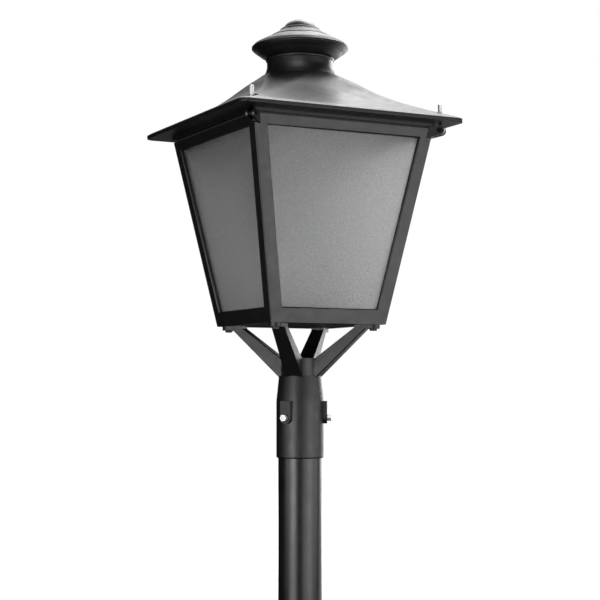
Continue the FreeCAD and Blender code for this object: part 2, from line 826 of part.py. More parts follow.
def clamp_fasteners(label, gap, drill):
    """For each clamp screw: the screw, or the hole for it, and its corner."""
    made = []
    lean = "atan(root2 * flare)"
    run = "(root2 * (glazing + clamp_size - clamp_chamfer / 2) * corner_cos)"
    heights = ["corner_boss_height + clamp_screw_inset", "clamp_high - clamp_screw_inset"]
    for corner, (along, across) in enumerate(SQUARE_CORNERS):
        for level, rise in enumerate(heights):
            name = f"{label}_{corner}_{level}"
            flat = clamp_face(rise) + " - clamp_size + clamp_chamfer / 2"
            if drill:
                item = rod(name, f"clamp_screw_dia / 2 + {gap}", f"{run} + clamp_screw_bite + 1")
            else:
                item = screw(name, "clamp_screw_head", "clamp_screw_rise", "clamp_screw_dia",
                             f"{run} + clamp_screw_bite", hexed=False)
            axis = (-across / math.sqrt(2), along / math.sqrt(2), 0)
            place(item, mirror_text(along, flat), mirror_text(across, flat),
                  f"body_base + {rise}", axis, f"90 deg + {lean}")
            made.append((item, corner))
    return made


def clamp_bars():
    """Chamfered bars in the four corners, pulled outwards against the edges of the panes."""
    made = []
    holes = clamp_fasteners("clamp_hole", 0.25, True)
    for corner, (along, across) in enumerate(SQUARE_CORNERS):
        blank = new_body(f"clamp_blank_{corner + 1}")
        levels = []
        for name, rise in (("low", "corner_boss_height + pane_rest"), ("high", "clamp_high")):
            face = clamp_face(rise)
            back = f"({face} - clamp_size)"
            nick = f"({face} - clamp_size + clamp_chamfer)"
            drawn = sketch(blank, f"clamp_{name}_{corner + 1}", lift=f"body_base + {rise}")
            points = [(face, face), (back, face), (back, nick), (nick, back), (face, back)]
            outline(drawn, [(mirror_text(along, x), mirror_text(across, y)) for x, y in points])
            levels.append(drawn)
        loft(blank, levels, ruled=True)
        tools = [hole for hole, owner in holes if owner == corner]
        made.append(cut(f"clamp_bar_{corner + 1}", blank,
                        group(f"clamp_holes_{corner + 1}", tools)))
    screws = [item for item, _ in clamp_fasteners("clamp_screw", 0, False)]
    return made + [group("clamp_screws", screws)]


def cable_entry():
    """The gland under the floor and its locknut above it."""
    thread = "gland_thread / 2"
    low = "body_base - gland_hex"
    collar = hexagon("gland_collar", "gland_across", "gland_hex", z=low)
    neck = rod("gland_neck", thread, "gland_hex + floor_thick + gland_nut + 1", z=low)
    dome = rod("gland_dome_nut", "gland_across / 2 - 1", "gland_dome",
               z=f"{low} - gland_dome")
    solid = fused("gland_solid", [collar, neck, dome])
    bore = rod("gland_passage", "gland_bore / 2", "gland_dome + gland_hex + floor_thick + 20",
               z=f"{low} - gland_dome - 1")
    gland = place(cut("cable_gland", solid, bore), "gland_x", "gland_y", "0")
    outer = hexagon("gland_nut_blank", "gland_across + 2", "gland_nut",
                    z="body_base + floor_thick")
    inner = rod("gland_nut_bore", f"{thread} + {HOLE_GAP}", "gland_nut",
                z="body_base + floor_thick")
    nut = place(cut("gland_nut", outer, inner), "gland_x", "gland_y", "0")
    return [gland, nut]


def roof_gasket():
    ring = new_body("roof_gasket")
    drawn = sketch(ring, "gasket_ring", lift="body_top")
    rounded_square(drawn, "gasket_half", "3 * frame_edge")
    rounded_square(drawn, "gasket_half - gasket_width", "frame_edge")
    pad(ring, drawn, "gasket_gap")
    return ring


def barrel_nuts():
    """Cross nuts that lie in the fork lugs, each with an upright hole for its closing screw."""
    made = []
    length = "(fork_gap + 2 * fork_ear_thick)"
    side = "closing_offset"
    for sign, name in ((1, "right"), (-1, "left")):
        barrel = rod(f"barrel_{name}_solid", "barrel_dia / 2", length, z=f"-{length} / 2")
        hole = rod(f"barrel_{name}_hole", "closing_dia / 2 + closing_clearance",
                   "2 * barrel_dia", y="barrel_dia", axis=(1, 0, 0), angle="90")
        ends = [rod(f"barrel_{name}_end_{end}", "barrel_socket_dia / 2", "2 * barrel_socket",
                    z=f"{end} * {length} / 2 - barrel_socket") for end in (-1, 1)]
        nut = cut(f"barrel_{name}", barrel, group(f"barrel_{name}_tools", [hole] + ends))
        quarter = FreeCAD.Rotation(FreeCAD.Vector(1, 0, 0), 90)
        swing = FreeCAD.Rotation(FreeCAD.Vector(0, 0, 1), -45 * sign)
        nut.Placement = FreeCAD.Placement(FreeCAD.Vector(), swing.multiply(quarter))
        bind(nut, Placement__Base__x=mirror_text(sign, side), Placement__Base__y=f"-({side})",
             Placement__Base__z="hinge_height")
        made.append(nut)
    return group("barrel_nuts", made)


def hinge_pins():
    length = "(hinge_knuckle + 2 * hinge_side_gap + 2 * hinge_cheek + 2)"
    made = []
    for sign, name in ((1, "right"), (-1, "left")):
        x = f"{sign} * hinge_spread / 2 - {length} / 2"
        made.append(rod(f"hinge_pin_{name}", "hinge_pin_dia / 2", length, x=x, y="hinge_reach",
                        z="hinge_height", axis=(0, 1, 0), angle="90"))
    return group("hinge_pins", made)


def roof_section(roof, label, rise_share, reach_share, drop, inset):
    """One rounded square of the bell; the corners grow until the top section is a circle."""
    top = "(roof_top_dia / 2)"
    lift = f"lip_top + {rise_share} * roof_rise - ({drop})"
    half = f"({top} + {reach_share} * (eave_half - eave_edge - {top}) - ({inset}))"
    share = rise_share ** ROOF_ROUNDING * 0.995
    radius = f"(eave_corner + {share:.5f} * ({top} - eave_corner) - ({inset}) * {share:.5f})"
    drawn = sketch(roof, label, lift=lift)
    rounded_square(drawn, half, radius)
    return drawn


def roof_shell():
    """Bell-cast roof with its eave, skirt, pillars and hinge knuckles, one hollow casting."""
    roof = new_body("roof_outer")
    lip = sketch(roof, "roof_lip", lift="soffit")
    rounded_square(lip, "eave_half", "eave_corner")
    pad(roof, lip, "lip_height")
    low = number("soffit")
    high = number("lip_top")

    def rim(edge):
        level = edge.BoundBox
        flat = level.ZLength < 0.001
        return flat and (abs(level.ZMin - low) < 0.001 or abs(level.ZMin - high) < 0.001)
    soften(roof, "Fillet", "eave_edge * 0.95", rim, "lip_edges")
    skirt = sketch(roof, "roof_skirt", lift="soffit + 1")
    rounded_square(skirt, "skirt_half", "2 * frame_edge")
    pad(roof, skirt, "skirt_height + 1", down=True)
    outer = [roof_section(roof, f"bell_{index}", rise, reach, "0", "0")
             for index, (rise, reach) in enumerate(ROOF_STATIONS)]
    loft(roof, outer)
    mouth = sketch(roof, "roof_mouth", lift="skirt_low")
    rounded_square(mouth, "skirt_half - skirt_wall", "frame_edge")
    pocket(roof, mouth, "skirt_height + soffit_thick + 1", up=True)
    vent = sketch(roof, "roof_vent", lift="roof_top + 1")
    circles(vent, [("0", "0", "neck_bore / 2")])
    pocket(roof, vent, "roof_skin + 2")
    half = "(closing_ledge / 2)"
    reach = "(closing_offset * root2)"
    end = "(eave_half * root2 + closing_ledge)"
    for turn, name in ((-45, "right"), (-135, "left")):
        ledge = sketch(roof, f"ledge_{name}", lift="seat_height", spin=turn)
        outline(ledge, [(reach, f"-{half}"), (end, f"-{half}"), (end, half), (reach, half)],
                {3: (None, 1)})
        pocket(roof, ledge, "roof_rise / 2", up=True)
    hinge_knuckles(roof)

    hollow = new_body("roof_hollow")
    first = sketch(hollow, "hollow_foot", lift="soffit + soffit_thick")
    rounded_square(first, "eave_half - rim_width", "eave_corner - rim_width / 2")
    inner = [roof_section(hollow, f"hollow_{index}", rise, reach, "roof_skin", "roof_skin")
             for index, (rise, reach) in enumerate(ROOF_STATIONS) if index > 0]
    loft(hollow, [first] + inner)

    solids = []
    drills = []
    for index, (along, across) in enumerate(SQUARE_CORNERS):
        x = mirror_text(along, "pillar_offset")
        y = mirror_text(across, "pillar_offset")
        solids.append(rod(f"pillar_{index}", "pillar_dia / 2", "roof_rise", x=x, y=y,
                          z="tray_top"))
        drills.append(rod(f"pillar_hole_{index}", f"tray_screw_dia / 2 + {HOLE_GAP}",
                          "tray_screw_bite + 1", x=x, y=y, z="tray_top"))
    wide = "(closing_ledge + 3 * roof_skin)"
    for turn, sign, name in ((-45, 1, "right"), (-135, -1, "left")):
        x = mirror_text(sign, "closing_offset")
        solids.append(rod(f"seat_boss_{name}", f"{wide} / 2", "roof_rise / 2", x=x,
                          y="-closing_offset", z="soffit"))
        # the rib under the ledge runs out to the corner of the eave
        rib = block(f"seat_rib_{name}", ("3 * closing_ledge", wide, "roof_rise / 2"),
                    ("0", "0", "0"))
        out = math.radians(turn)
        side = f"{wide} / 2"
        place(rib, f"{x} + {math.sin(out):.9f} * {side}",
              f"-closing_offset - {math.cos(out):.9f} * {side}", "soffit", (0, 0, 1), str(turn))
        solids.append(rib)
        drills.append(rod(f"closing_hole_{name}", "closing_dia / 2 + closing_clearance",
                          "roof_rise / 2", x=x, y="-closing_offset", z="soffit - 1"))
    cavity = cut("roof_cavity", hollow, group("roof_solids", solids))
    shell = cut("roof_casting", roof, cavity)
    return cut("roof_shell", shell, group("roof_drillings", drills))


def hinge_knuckles(roof):
    barrel = "(hinge_barrel / 2)"
    for sign, name in ((1, "right"), (-1, "left")):
        knuckle = sketch(roof, f"knuckle_{name}", "YZ_Plane",
                         lift=mirror_text(sign, "hinge_spread / 2"))
        outline(knuckle, [(f"hinge_reach - {barrel}", "hinge_height"),
                          (f"hinge_reach + {barrel}", "hinge_height"),
                          (f"hinge_reach + {barrel}", "soffit + 1"),
                          (f"hinge_reach - {barrel}", "soffit + 1")], {0: (None, 1)})
        pad(roof, knuckle, "hinge_knuckle", both=True)
    bore = sketch(roof, "knuckle_bore", "YZ_Plane")
    circles(bore, [("hinge_reach", "hinge_height", "hinge_pin_dia / 2 + running_gap")])
    pocket(roof, bore, "hinge_spread + 4 * hinge_barrel", both=True)


def turned_piece(label, points, arcs=None):
    made = new_body(label)
    drawn = sketch(made, label + "_profile", "XZ_Plane")
    outline(drawn, points, arcs)
    revolve(made, drawn)
    return made


def chimney():
    """Neck, cap in two spun shells, and the knob that the tie rod pulls down."""
    bead = "neck_bead"
    neck = turned_piece("chimney_neck", [
        ("neck_bore / 2", "roof_top"), ("neck_foot_dia / 2", "roof_top"),
        ("neck_foot_dia / 2", "roof_top + 2.5"), ("neck_dia / 2", "roof_top + neck_foot_rise"),
        ("neck_dia / 2", f"neck_top - 2 * {bead}"), ("neck_dia / 2", "neck_top"),
        ("neck_bore / 2", "neck_top")],
        {2: ("3 * neck_foot_rise / 2", -1), 4: (None, 1)})
    hole = "tie_dia / 2 + tie_bore_gap"
    rim = "(cap_dia / 2)"
    wall = "cap_wall"
    foot = "(neck_dia / 2)"
    pan = turned_piece("cap_pan", [
        (hole, "neck_top"), (foot, "neck_top"), (f"{rim} - 12", f"neck_top + pan_rise / 2"),
        (rim, f"cap_rim - 1"), (rim, "cap_rim"), (f"{rim} - {wall} - 1", "cap_rim"),
        (f"{rim} - 12 - {wall}", f"neck_top + pan_rise / 2 + {wall}"),
        (f"{foot} - 2", f"neck_top + {wall}"), (hole, f"neck_top + {wall}")],
        {1: ("3 * pan_rise", 1), 2: ("pan_rise", 1)})
    step = "(cap_step_dia / 2)"
    collar = "(cap_collar_dia / 2)"
    rolled = "(cap_rim + cap_roll)"
    shoulder = "(cap_rim + cap_roll + cap_shoulder)"
    high = f"({shoulder} + cap_crown_rise)"
    cone = turned_piece("cap_cone", [
        (rim, "cap_rim"), (rim, rolled), (f"{rim} - 10", shoulder), (step, high),
        (f"{step} - 1", f"{high} + cap_step"), (collar, "cap_top"), (hole, "cap_top"),
        (hole, f"cap_top - {wall}"), (f"{collar} - {wall} / 2", f"cap_top - {wall}"),
        (f"{step} - 1 - {wall}", f"{high} + cap_step - {wall}"),
        (f"{rim} - 10 - {wall} / 2", f"{shoulder} - {wall}"),
        (f"{rim} - {wall} - 1", "cap_rim")],
        {0: ("2 * cap_roll", 1), 1: ("2.2 * cap_shoulder", 1), 2: ("6 * cap_crown_rise", 1)})
    reach = "(knob_dia / 2)"
    top = "(knob_flat_dia / 2)"
    knob = turned_piece("finial_knob", [
        ("tie_dia / 2 + running_gap", "cap_top"), (f"{reach} - 1", "cap_top"),
        (reach, "cap_top + 1"), (reach, "cap_top + 1 + knob_edge"),
        (top, "cap_top + knob_rise - 1"), (f"{top} - 2", "cap_top + knob_rise"),
        ("0", "cap_top + knob_rise"),
        ("0", "cap_top + tie_bite + 1"), ("tie_dia / 2 + running_gap", "cap_top + tie_bite + 1")],
        {3: ("1.8 * knob_rise", 1)})
    return [neck, pan, cone, knob]


def tie_parts():
    """Bridge under the roof's top ring, the rod through the chimney and its nut."""
    length = "bridge_length"
    plank = block("bridge_plank", (length, "bridge_width", "bridge_thick"),
                  (f"-{length} / 2", "-bridge_width / 2", "bridge_low"))
    hole = rod("bridge_hole", "tie_dia / 2 + tie_bore_gap", "bridge_thick", z="bridge_low")
    bridge = cut("tie_bridge", plank, hole)
    low = "(bridge_low - tie_nut_height - tie_end)"
    stem = rod("tie_rod", "tie_dia / 2", f"cap_top + tie_bite - {low}", z=low)
    outer = hexagon("tie_nut_blank", "tie_across", "tie_nut_height",
                    z="bridge_low - tie_nut_height")
    inner = rod("tie_nut_bore", "tie_dia / 2 + running_gap", "tie_nut_height",
                z="bridge_low - tie_nut_height")
    return [bridge, stem, cut("tie_nut", outer, inner)]


def footed_box(label, x, y, size):
    """A box on the tray with a screw foot at each end, and the places of its two screws."""
    length, width, height = size
    half = f"({length} / 2)"
    case = block(label + "_case", (length, width, height),
                 (f"{x} - {half}", f"{y} - {width} / 2", "tray_top"))
    strip = block(label + "_strip", (f"{length} + 2 * gear_foot", "gear_foot", "gear_foot_thick"),
                  (f"{x} - {half} - gear_foot", f"{y} - gear_foot / 2", "tray_top"))
    spots = [(f"{x} - {half} - gear_foot / 2", y), (f"{x} + {half} + gear_foot / 2", y)]
    holes = [rod(f"{label}_hole_{index}", "tray_screw_dia / 2 - 0.4", "gear_foot_thick", x=hole_x,
                 y=hole_y, z="tray_top") for index, (hole_x, hole_y) in enumerate(spots)]
    joined = fused(label + "_solid", [case, strip])
    return cut(label, joined, group(label + "_holes", holes)), spots


def gear():
    """The tray with the lamp's gear on top, its screws, and the reflector below."""
    parts = []
    spots = []
    for name in ("ballast", "igniter", "terminal"):
        size = (f"{name}_length", f"{name}_width", f"{name}_height")
        item, holes = footed_box(name, f"{name}_x", f"{name}_y", size)
        parts.append(item)
        spots += holes
    parts[2].Label = "terminal_block"
    can = turned_piece("capacitor", [
        ("0", "tray_top"), ("capacitor_dia / 2", "tray_top"),
        ("capacitor_dia / 2", "tray_top + capacitor_height - 2"),
        ("capacitor_dia / 2 - 2", "tray_top + capacitor_height"),
        ("0", "tray_top + capacitor_height")])
    place(can, "capacitor_x", "capacitor_y", "0")

    tray = new_body("gear_tray")
    plan = sketch(tray, "tray_plan", lift="tray_low")
    rounded_square(plan, "tray_half", "eave_corner")
    pad(tray, plan, "tray_thick")
    corners = [(mirror_text(along, "pillar_offset"), mirror_text(across, "pillar_offset"))
               for along, across in SQUARE_CORNERS]
    holder = [(f"{along} * holder_screw_ring / 2 / root2", f"{across} * holder_screw_ring / 2 / root2")
              for along, across in SQUARE_CORNERS]
    holes = sketch(tray, "tray_holes", lift="tray_top")
    circles(holes, [(x, y, "tray_screw_dia / 2 + 0.3") for x, y in corners]
            + [(x, y, "tray_screw_dia / 2 - 0.9") for x, y in holder]
            + [(x, y, "tray_screw_dia / 2 - 0.4") for x, y in spots])
    pocket(tray, holes, "tray_thick")

    tray_screws = []
    for index, (x, y) in enumerate(corners):
        item = screw(f"tray_screw_{index}", "tray_screw_across", "tray_screw_head",
                     "tray_screw_dia", "tray_thick + tray_screw_bite")
        tray_screws.append(place(item, x, y, "tray_low"))
    gear_screws = []
    for index, (x, y) in enumerate(spots):
        item = screw(f"gear_screw_{index}", "tray_screw_across - 1", "tray_screw_head - 1",
                     "tray_screw_dia - 1", "gear_foot_thick + tray_thick", hexed=False)
        gear_screws.append(place(item, x, y, "tray_top + gear_foot_thick", (1, 0, 0), "180"))
    return parts + [can, tray, group("tray_screws", tray_screws),
                    group("gear_screws", gear_screws)] + lamp_parts(holder)


def lamp_parts(holder_spots):
    thick = "reflector_plate"
    flat = "(reflector_flat / 2)"
    rim = "(reflector_dia / 2)"
    low = "plate_low - reflector_drop"
    reflector = turned_piece("reflector_blank", [
        ("reflector_bore / 2", "tray_low"), ("reflector_bore / 2", "plate_low"),
        (flat, "plate_low"), (rim, low), (f"{rim} + 1.5 * {thick}", f"{low} + {thick}"),
        (f"{flat} + {thick}", "tray_low")], {})
    parts = []
    screws = []
    holes = []
    flange_low = "(plate_low - holder_flange)"
    for index, (x, y) in enumerate(holder_spots):
        holes.append(rod(f"holder_hole_{index}", "tray_screw_dia / 2 - 0.9",
                         "reflector_plate + holder_flange", x=x, y=y, z=flange_low))
        item = screw(f"holder_screw_{index}", "tray_screw_across - 2", "tray_screw_head - 1",
                     "tray_screw_dia - 2", "holder_flange + reflector_plate + tray_thick",
                     hexed=False)
        screws.append(place(item, x, y, flange_low))
    drills = group("holder_holes", holes)
    parts.append(cut("reflector", reflector, drills))
    body = "(holder_dia / 2)"
    holder = turned_piece("holder_blank", [
        ("0", "plate_low"), ("holder_flange_dia / 2", "plate_low"),
        ("holder_flange_dia / 2", flange_low), ("holder_dia / 2 - 5", flange_low),
        (f"{body} - 5", f"{flange_low} - 8"), (body, f"{flange_low} - 12"),
        (body, "holder_low"), ("socket_dia / 2", "holder_low"),
        ("socket_dia / 2", "holder_low + socket_depth"), ("0", "holder_low + socket_depth")])
    more = [rod(f"holder_bore_{index}", "tray_screw_dia / 2 - 0.9",
                "holder_flange", x=x, y=y, z=flange_low)
            for index, (x, y) in enumerate(holder_spots)]
    parts.append(cut("lamp_holder", holder, group("holder_bores", more)))
    parts.append(group("holder_screws", screws))
    base = "(lamp_base_dia / 2)"
    neck = "(lamp_neck_dia / 2)"
    bulb = "(lamp_dia / 2)"
    tip = "(holder_low - lamp_length)"
    waist = "(holder_low - lamp_neck)"
    drop = f"({waist} - {tip} - {bulb})"
    shoulder = f"(({bulb} - {neck}) / 2 + {drop} * {drop} / 2 / ({bulb} - {neck}))"
    parts.append(turned_piece("lamp", [
        ("0", "holder_low + socket_depth - 1"), (base, "holder_low + socket_depth - 3"),
        (base, "holder_low - 1.5"), (neck, "holder_low - 4"), (neck, waist),
        (bulb, f"{tip} + {bulb}"), ("0", tip)],
        {4: (shoulder, -1), 5: (bulb, -1)}))
    return parts


def closing_screw(sign, name):
    """Stainless closing screw: collar on the ledge, waist, round head, shank into the nut."""
    label = "closing_screw_" + name
    seat = "seat_height"
    shank = "(closing_dia / 2)"
    collar = "(closing_collar_dia / 2)"
    waist = "(closing_waist_dia / 2)"
    head = "(closing_head_dia / 2)"
    tail = "(hinge_height - closing_tail)"
    first = f"({seat} + closing_collar)"
    second = f"({first} + closing_waist)"
    top = f"({second} + closing_head)"
    made = turned_piece(label, [
        ("0", tail), (f"{shank} - 0.8", tail), (shank, f"{tail} + 0.8"), (shank, seat),
        (collar, seat), (collar, f"{first} - 1"), (f"{collar} - 1", first), (waist, first),
        (waist, second), (head, second), (head, f"{top} - closing_round"),
        (f"{head} - closing_round", top), ("0", top)], {10: ("closing_round", 1)})
    return place(made, mirror_text(sign, "closing_offset"), "-closing_offset", "0")


parts = [post_tube(), bracket_casting(), set_screws()]
parts += foot_hardware()
parts.append(body_frame())
parts += glazing()
parts += clamp_bars()
parts += cable_entry()
parts += [roof_gasket(), barrel_nuts(), hinge_pins(), roof_shell()]
parts += chimney()
parts += tie_parts()
parts += gear()
parts += [closing_screw(1, "right"), closing_screw(-1, "left")]
doc.recompute()

broken = [item.Label for item in doc.Objects if "Invalid" in item.State or "Error" in item.State]
if broken:
    raise RuntimeError("these did not build: " + ", ".join(broken))
os.makedirs("parts", exist_ok=True)
for part in parts:
    shape = part.Shape
    if shape.isNull() or not shape.isValid():
        raise RuntimeError(f"{part.Label} has no valid shape")
    shape.exportStep(os.path.join("parts", part.Label + ".step"))
    print(f"{part.Label}: {len(shape.Solids)} solids, {shape.Volume / 1000:.1f} cm3")
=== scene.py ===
"""Looks of the victorian street lantern: finishes, finer pieces, studio light and camera."""
import json
import math

import bmesh
import bpy
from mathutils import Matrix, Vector


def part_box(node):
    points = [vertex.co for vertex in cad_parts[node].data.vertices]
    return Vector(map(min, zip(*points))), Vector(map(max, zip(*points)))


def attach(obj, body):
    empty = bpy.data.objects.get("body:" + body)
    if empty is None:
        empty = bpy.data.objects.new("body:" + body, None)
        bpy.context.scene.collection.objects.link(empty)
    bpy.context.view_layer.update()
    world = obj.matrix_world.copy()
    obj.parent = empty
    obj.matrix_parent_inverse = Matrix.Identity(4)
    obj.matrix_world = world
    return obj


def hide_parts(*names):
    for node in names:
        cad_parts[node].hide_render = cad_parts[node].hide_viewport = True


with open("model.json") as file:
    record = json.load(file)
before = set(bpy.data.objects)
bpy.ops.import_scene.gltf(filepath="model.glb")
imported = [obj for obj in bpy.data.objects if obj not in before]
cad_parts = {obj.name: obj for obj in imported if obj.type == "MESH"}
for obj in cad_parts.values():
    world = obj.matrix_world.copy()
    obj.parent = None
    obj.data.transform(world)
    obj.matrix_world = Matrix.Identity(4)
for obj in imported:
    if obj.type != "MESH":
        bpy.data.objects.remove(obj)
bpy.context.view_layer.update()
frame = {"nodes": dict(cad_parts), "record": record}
scene = bpy.context.scene
nodes = frame["nodes"]
bpy.ops.object.select_all(action="DESELECT")


# Sizes and places in millimetres, read from the frame
def mm(value):
    return value / 1000.0


def extent(node):
    """Lowest and highest corner of a CAD node."""
    return [[part * 1000 for part in corner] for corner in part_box(node)]


def middle(node):
    """Middle of a CAD node's box, to a hundredth."""
    return [round((low + high) / 2, 2) for low, high in zip(*extent(node))]


def size(node):
    """Lengths of a CAD node's box along X, Y and Z, to a hundredth."""
    return [round(high - low, 2) for low, high in zip(*extent(node))]


def stand(node):
    """Height at which a CAD node starts, and how tall it is."""
    return round(extent(node)[0][2], 2), size(node)[2]


# Node makers for the finishes
def add_node(tree, kind, inputs=None, **properties):
    """Adds a shader node; an input is a value, or another node's output that is linked to it."""
    made = tree.nodes.new("ShaderNode" + kind)
    for key, value in properties.items():
        setattr(made, key, value)
    for key, value in (inputs or {}).items():
        if isinstance(value, bpy.types.NodeSocket):
            tree.links.new(value, made.inputs[key])
        else:
            made.inputs[key].default_value = value
    return made


def start_finish(name, roughness, metallic=0.0, **constants):
    """A new material with its shader's constants set, its node tree and the object's coordinates."""
    material = bpy.data.materials.new(name)
    material.use_nodes = True
    tree = material.node_tree
    shader = tree.nodes["Principled BSDF"]
    shader.inputs["Roughness"].default_value = roughness
    shader.inputs["Metallic"].default_value = metallic
    for key, value in constants.items():
        shader.inputs[key.replace("_", " ")].default_value = value
    place = add_node(tree, "TexCoord").outputs["Object"]
    return material, tree, shader, place


def stretched(tree, place, scale):
    return add_node(tree, "Mapping", {"Vector": place, "Scale": scale}).outputs[0]


def grain(tree, place, scale, detail=3.0, roughness=0.55):
    """Soft noise; the scale is about its number of patches to a metre."""
    return add_node(tree, "TexNoise", {"Vector": place, "Scale": scale, "Detail": detail,
                                       "Roughness": roughness}).outputs[0]


def cells(tree, place, scale, output="Distance"):
    """Round pits or spangles; the scale is about their number to a metre."""
    return add_node(tree, "TexVoronoi", {"Vector": place, "Scale": scale}).outputs[output]


def spread(tree, value, span, onto=(0.0, 1.0)):
    """Maps a value from one range onto another, and clamps it."""
    return add_node(tree, "MapRange", {"Value": value, "From Min": span[0], "From Max": span[1],
                                       "To Min": onto[0], "To Max": onto[1]}).outputs[0]


def product(tree, first, second):
    return add_node(tree, "Math", {0: first, 1: second}, operation="MULTIPLY").outputs[0]


def tones(tree, value, *stops):
    """A colour ramp: each stop is a position and a grey, or a colour of three numbers."""
    made = add_node(tree, "ValToRGB", {"Fac": value})
    ramp = made.color_ramp
    while len(ramp.elements) < len(stops):
        ramp.elements.new(0.5)
    for element, (position, colour) in zip(ramp.elements, stops):
        element.position = position
        rgb = (colour,) * 3 if isinstance(colour, float) else colour
        element.color = (*rgb, 1.0)
    return made.outputs[0]


def mixed(tree, factor, first, second):
    """A colour between two others, each of them a socket or three numbers."""
    made = add_node(tree, "Mix", {0: factor}, data_type="RGBA")
    for index, colour in ((6, first), (7, second)):
        if isinstance(colour, bpy.types.NodeSocket):
            tree.links.new(colour, made.inputs[index])
        else:
            made.inputs[index].default_value = (*colour, 1.0)
    return made.outputs[2]


def relief(tree, height, depth, strength=1.0, below=None):
    """Bumps of a depth in mm, on top of another relief where there is one below."""
    inputs = {"Height": height, "Distance": mm(depth), "Strength": strength}
    if below is not None:
        inputs["Normal"] = below
    return add_node(tree, "Bump", inputs).outputs[0]


def upward(tree):
    """How far a surface faces up, where dust settles."""
    normal = add_node(tree, "NewGeometry").outputs["Normal"]
    return add_node(tree, "SeparateXYZ", {"Vector": normal}).outputs["Z"]


def finish_shader(tree, shader, colour=None, roughness=None, normal=None):
    for key, socket in (("Base Color", colour), ("Roughness", roughness), ("Normal", normal)):
        if socket is not None:
            tree.links.new(socket, shader.inputs[key])


# Finishes
DUST = (0.42, 0.41, 0.39)
# Near-black of the painted shade on the lower ends of the closing screws
PAINTED_SHADE_BLACK = (0.006, 0.006, 0.005)


def black_coat(name, shade, rough, peel, dust=0.05, cast=0.0, gloss=0.5):
    """Satin black coat: cloudy near-black colour, orange peel, and a little dust on top."""
    material, tree, shader, place = start_finish(name, 0.4, Specular_IOR_Level=gloss)
    clouds = grain(tree, place, 14.0, 5.0)
    colour = tones(tree, clouds, (0.3, shade[0]), (0.7, shade[1]))
    settled = spread(tree, upward(tree), (0.5, 1.0))
    patches = spread(tree, grain(tree, place, 38.0, 6.0, 0.65), (0.42, 0.72))
    amount = product(tree, product(tree, settled, patches), dust)
    dusted = mixed(tree, amount, colour, DUST)
    smears = spread(tree, grain(tree, place, 55.0, 4.0), (0.3, 0.7), rough)
    normal = relief(tree, grain(tree, place, 620.0, 2.0), peel)
    if cast:
        normal = relief(tree, grain(tree, place, 170.0, 4.0, 0.6), cast, below=normal)
    finish_shader(tree, shader, dusted, smears, normal)
    return material


def bare_metal(name, shade, rough, streaks, painted_shade_below=None):
    """Bright metal with fine drawn or turned streaks and slight tarnish; black below a given height,
    as painted shade.
    """
    material, tree, shader, place = start_finish(name, 0.3, 1.0)
    lines = grain(tree, stretched(tree, place, streaks), 1.0, 4.0, 0.6)
    tarnish = spread(tree, grain(tree, place, 120.0, 5.0), (0.4, 0.75), (0.0, 0.5))
    colour = mixed(tree, tarnish, shade, tuple(part * 0.78 for part in shade))
    # Painted shade: the metal turns black below the given height
    if painted_shade_below is not None:
        height = add_node(tree, "SeparateXYZ", {"Vector": place}).outputs["Z"]
        unshaded_part = spread(tree, height, (painted_shade_below - mm(1), painted_shade_below))
        colour = mixed(tree, unshaded_part, PAINTED_SHADE_BLACK, colour)
    finish_shader(tree, shader, colour, spread(tree, lines, (0.3, 0.7), rough),
                  relief(tree, lines, 0.04))
    return material


def stippled_pane():
    """Translucent pane with a moulded stipple: a close pattern of small round pits."""
    material, tree, shader, place = start_finish(
        "pane_glass", 0.5, IOR=1.49, Transmission_Weight=0.96)
    pits = cells(tree, place, 240.0)
    fine = cells(tree, place, 610.0)
    speck = grain(tree, place, 330.0, 2.0, 0.6)
    cloud = spread(tree, grain(tree, place, 9.0, 3.0), (0.35, 0.65), (0.0, 0.12))
    colour = tones(tree, speck, (0.30, 0.44), (0.55, 0.59), (0.75, 0.82))
    colour = mixed(tree, cloud, colour, (0.72, 0.72, 0.72))
    normal = relief(tree, fine, 0.2, 0.5, below=relief(tree, pits, 0.8, 0.7))
    finish_shader(tree, shader, colour, spread(tree, fine, (0.0, 0.6), (0.44, 0.56)), normal)
    return material


def rubber():
    """Dull black rubber of the seals and the gasket."""
    material, tree, shader, place = start_finish("rubber", 0.75)
    fine = grain(tree, place, 900.0, 3.0)
    colour = tones(tree, grain(tree, place, 60.0, 5.0), (0.3, 0.012), (0.75, 0.028))
    rough = spread(tree, fine, (0.3, 0.7), (0.62, 0.85))
    finish_shader(tree, shader, colour, rough, relief(tree, fine, 0.12))
    return material


def zinc_sheet():
    """Galvanised sheet: spangles of different brightness."""
    material, tree, shader, place = start_finish("zinc_sheet", 0.4, 1.0)
    spangle = cells(tree, place, 95.0, output="Color")
    grey = add_node(tree, "SeparateXYZ", {"Vector": spangle}).outputs["X"]
    colour = tones(tree, grey, (0.0, (0.50, 0.52, 0.54)), (1.0, (0.74, 0.76, 0.78)))
    rough = spread(tree, grey, (0.0, 1.0), (0.30, 0.50))
    finish_shader(tree, shader, colour, rough, relief(tree, grain(tree, place, 260.0), 0.05))
    return material


def enamel(name, shade, rough, peel_scale, peel, coat=0.0):
    """Paint, moulded plastic or glaze in one colour, with slight mottling and a fine surface."""
    material, tree, shader, place = start_finish(name, 0.4, Coat_Weight=coat, Coat_Roughness=0.12)
    mottle = grain(tree, place, 42.0, 5.0)
    darker = tuple(part * 0.86 for part in shade)
    colour = mixed(tree, spread(tree, mottle, (0.38, 0.72)), shade, darker)
    surface = relief(tree, grain(tree, place, peel_scale, 2.0), peel)
    finish_shader(tree, shader, colour, spread(tree, mottle, (0.3, 0.7), rough), surface)
    return material


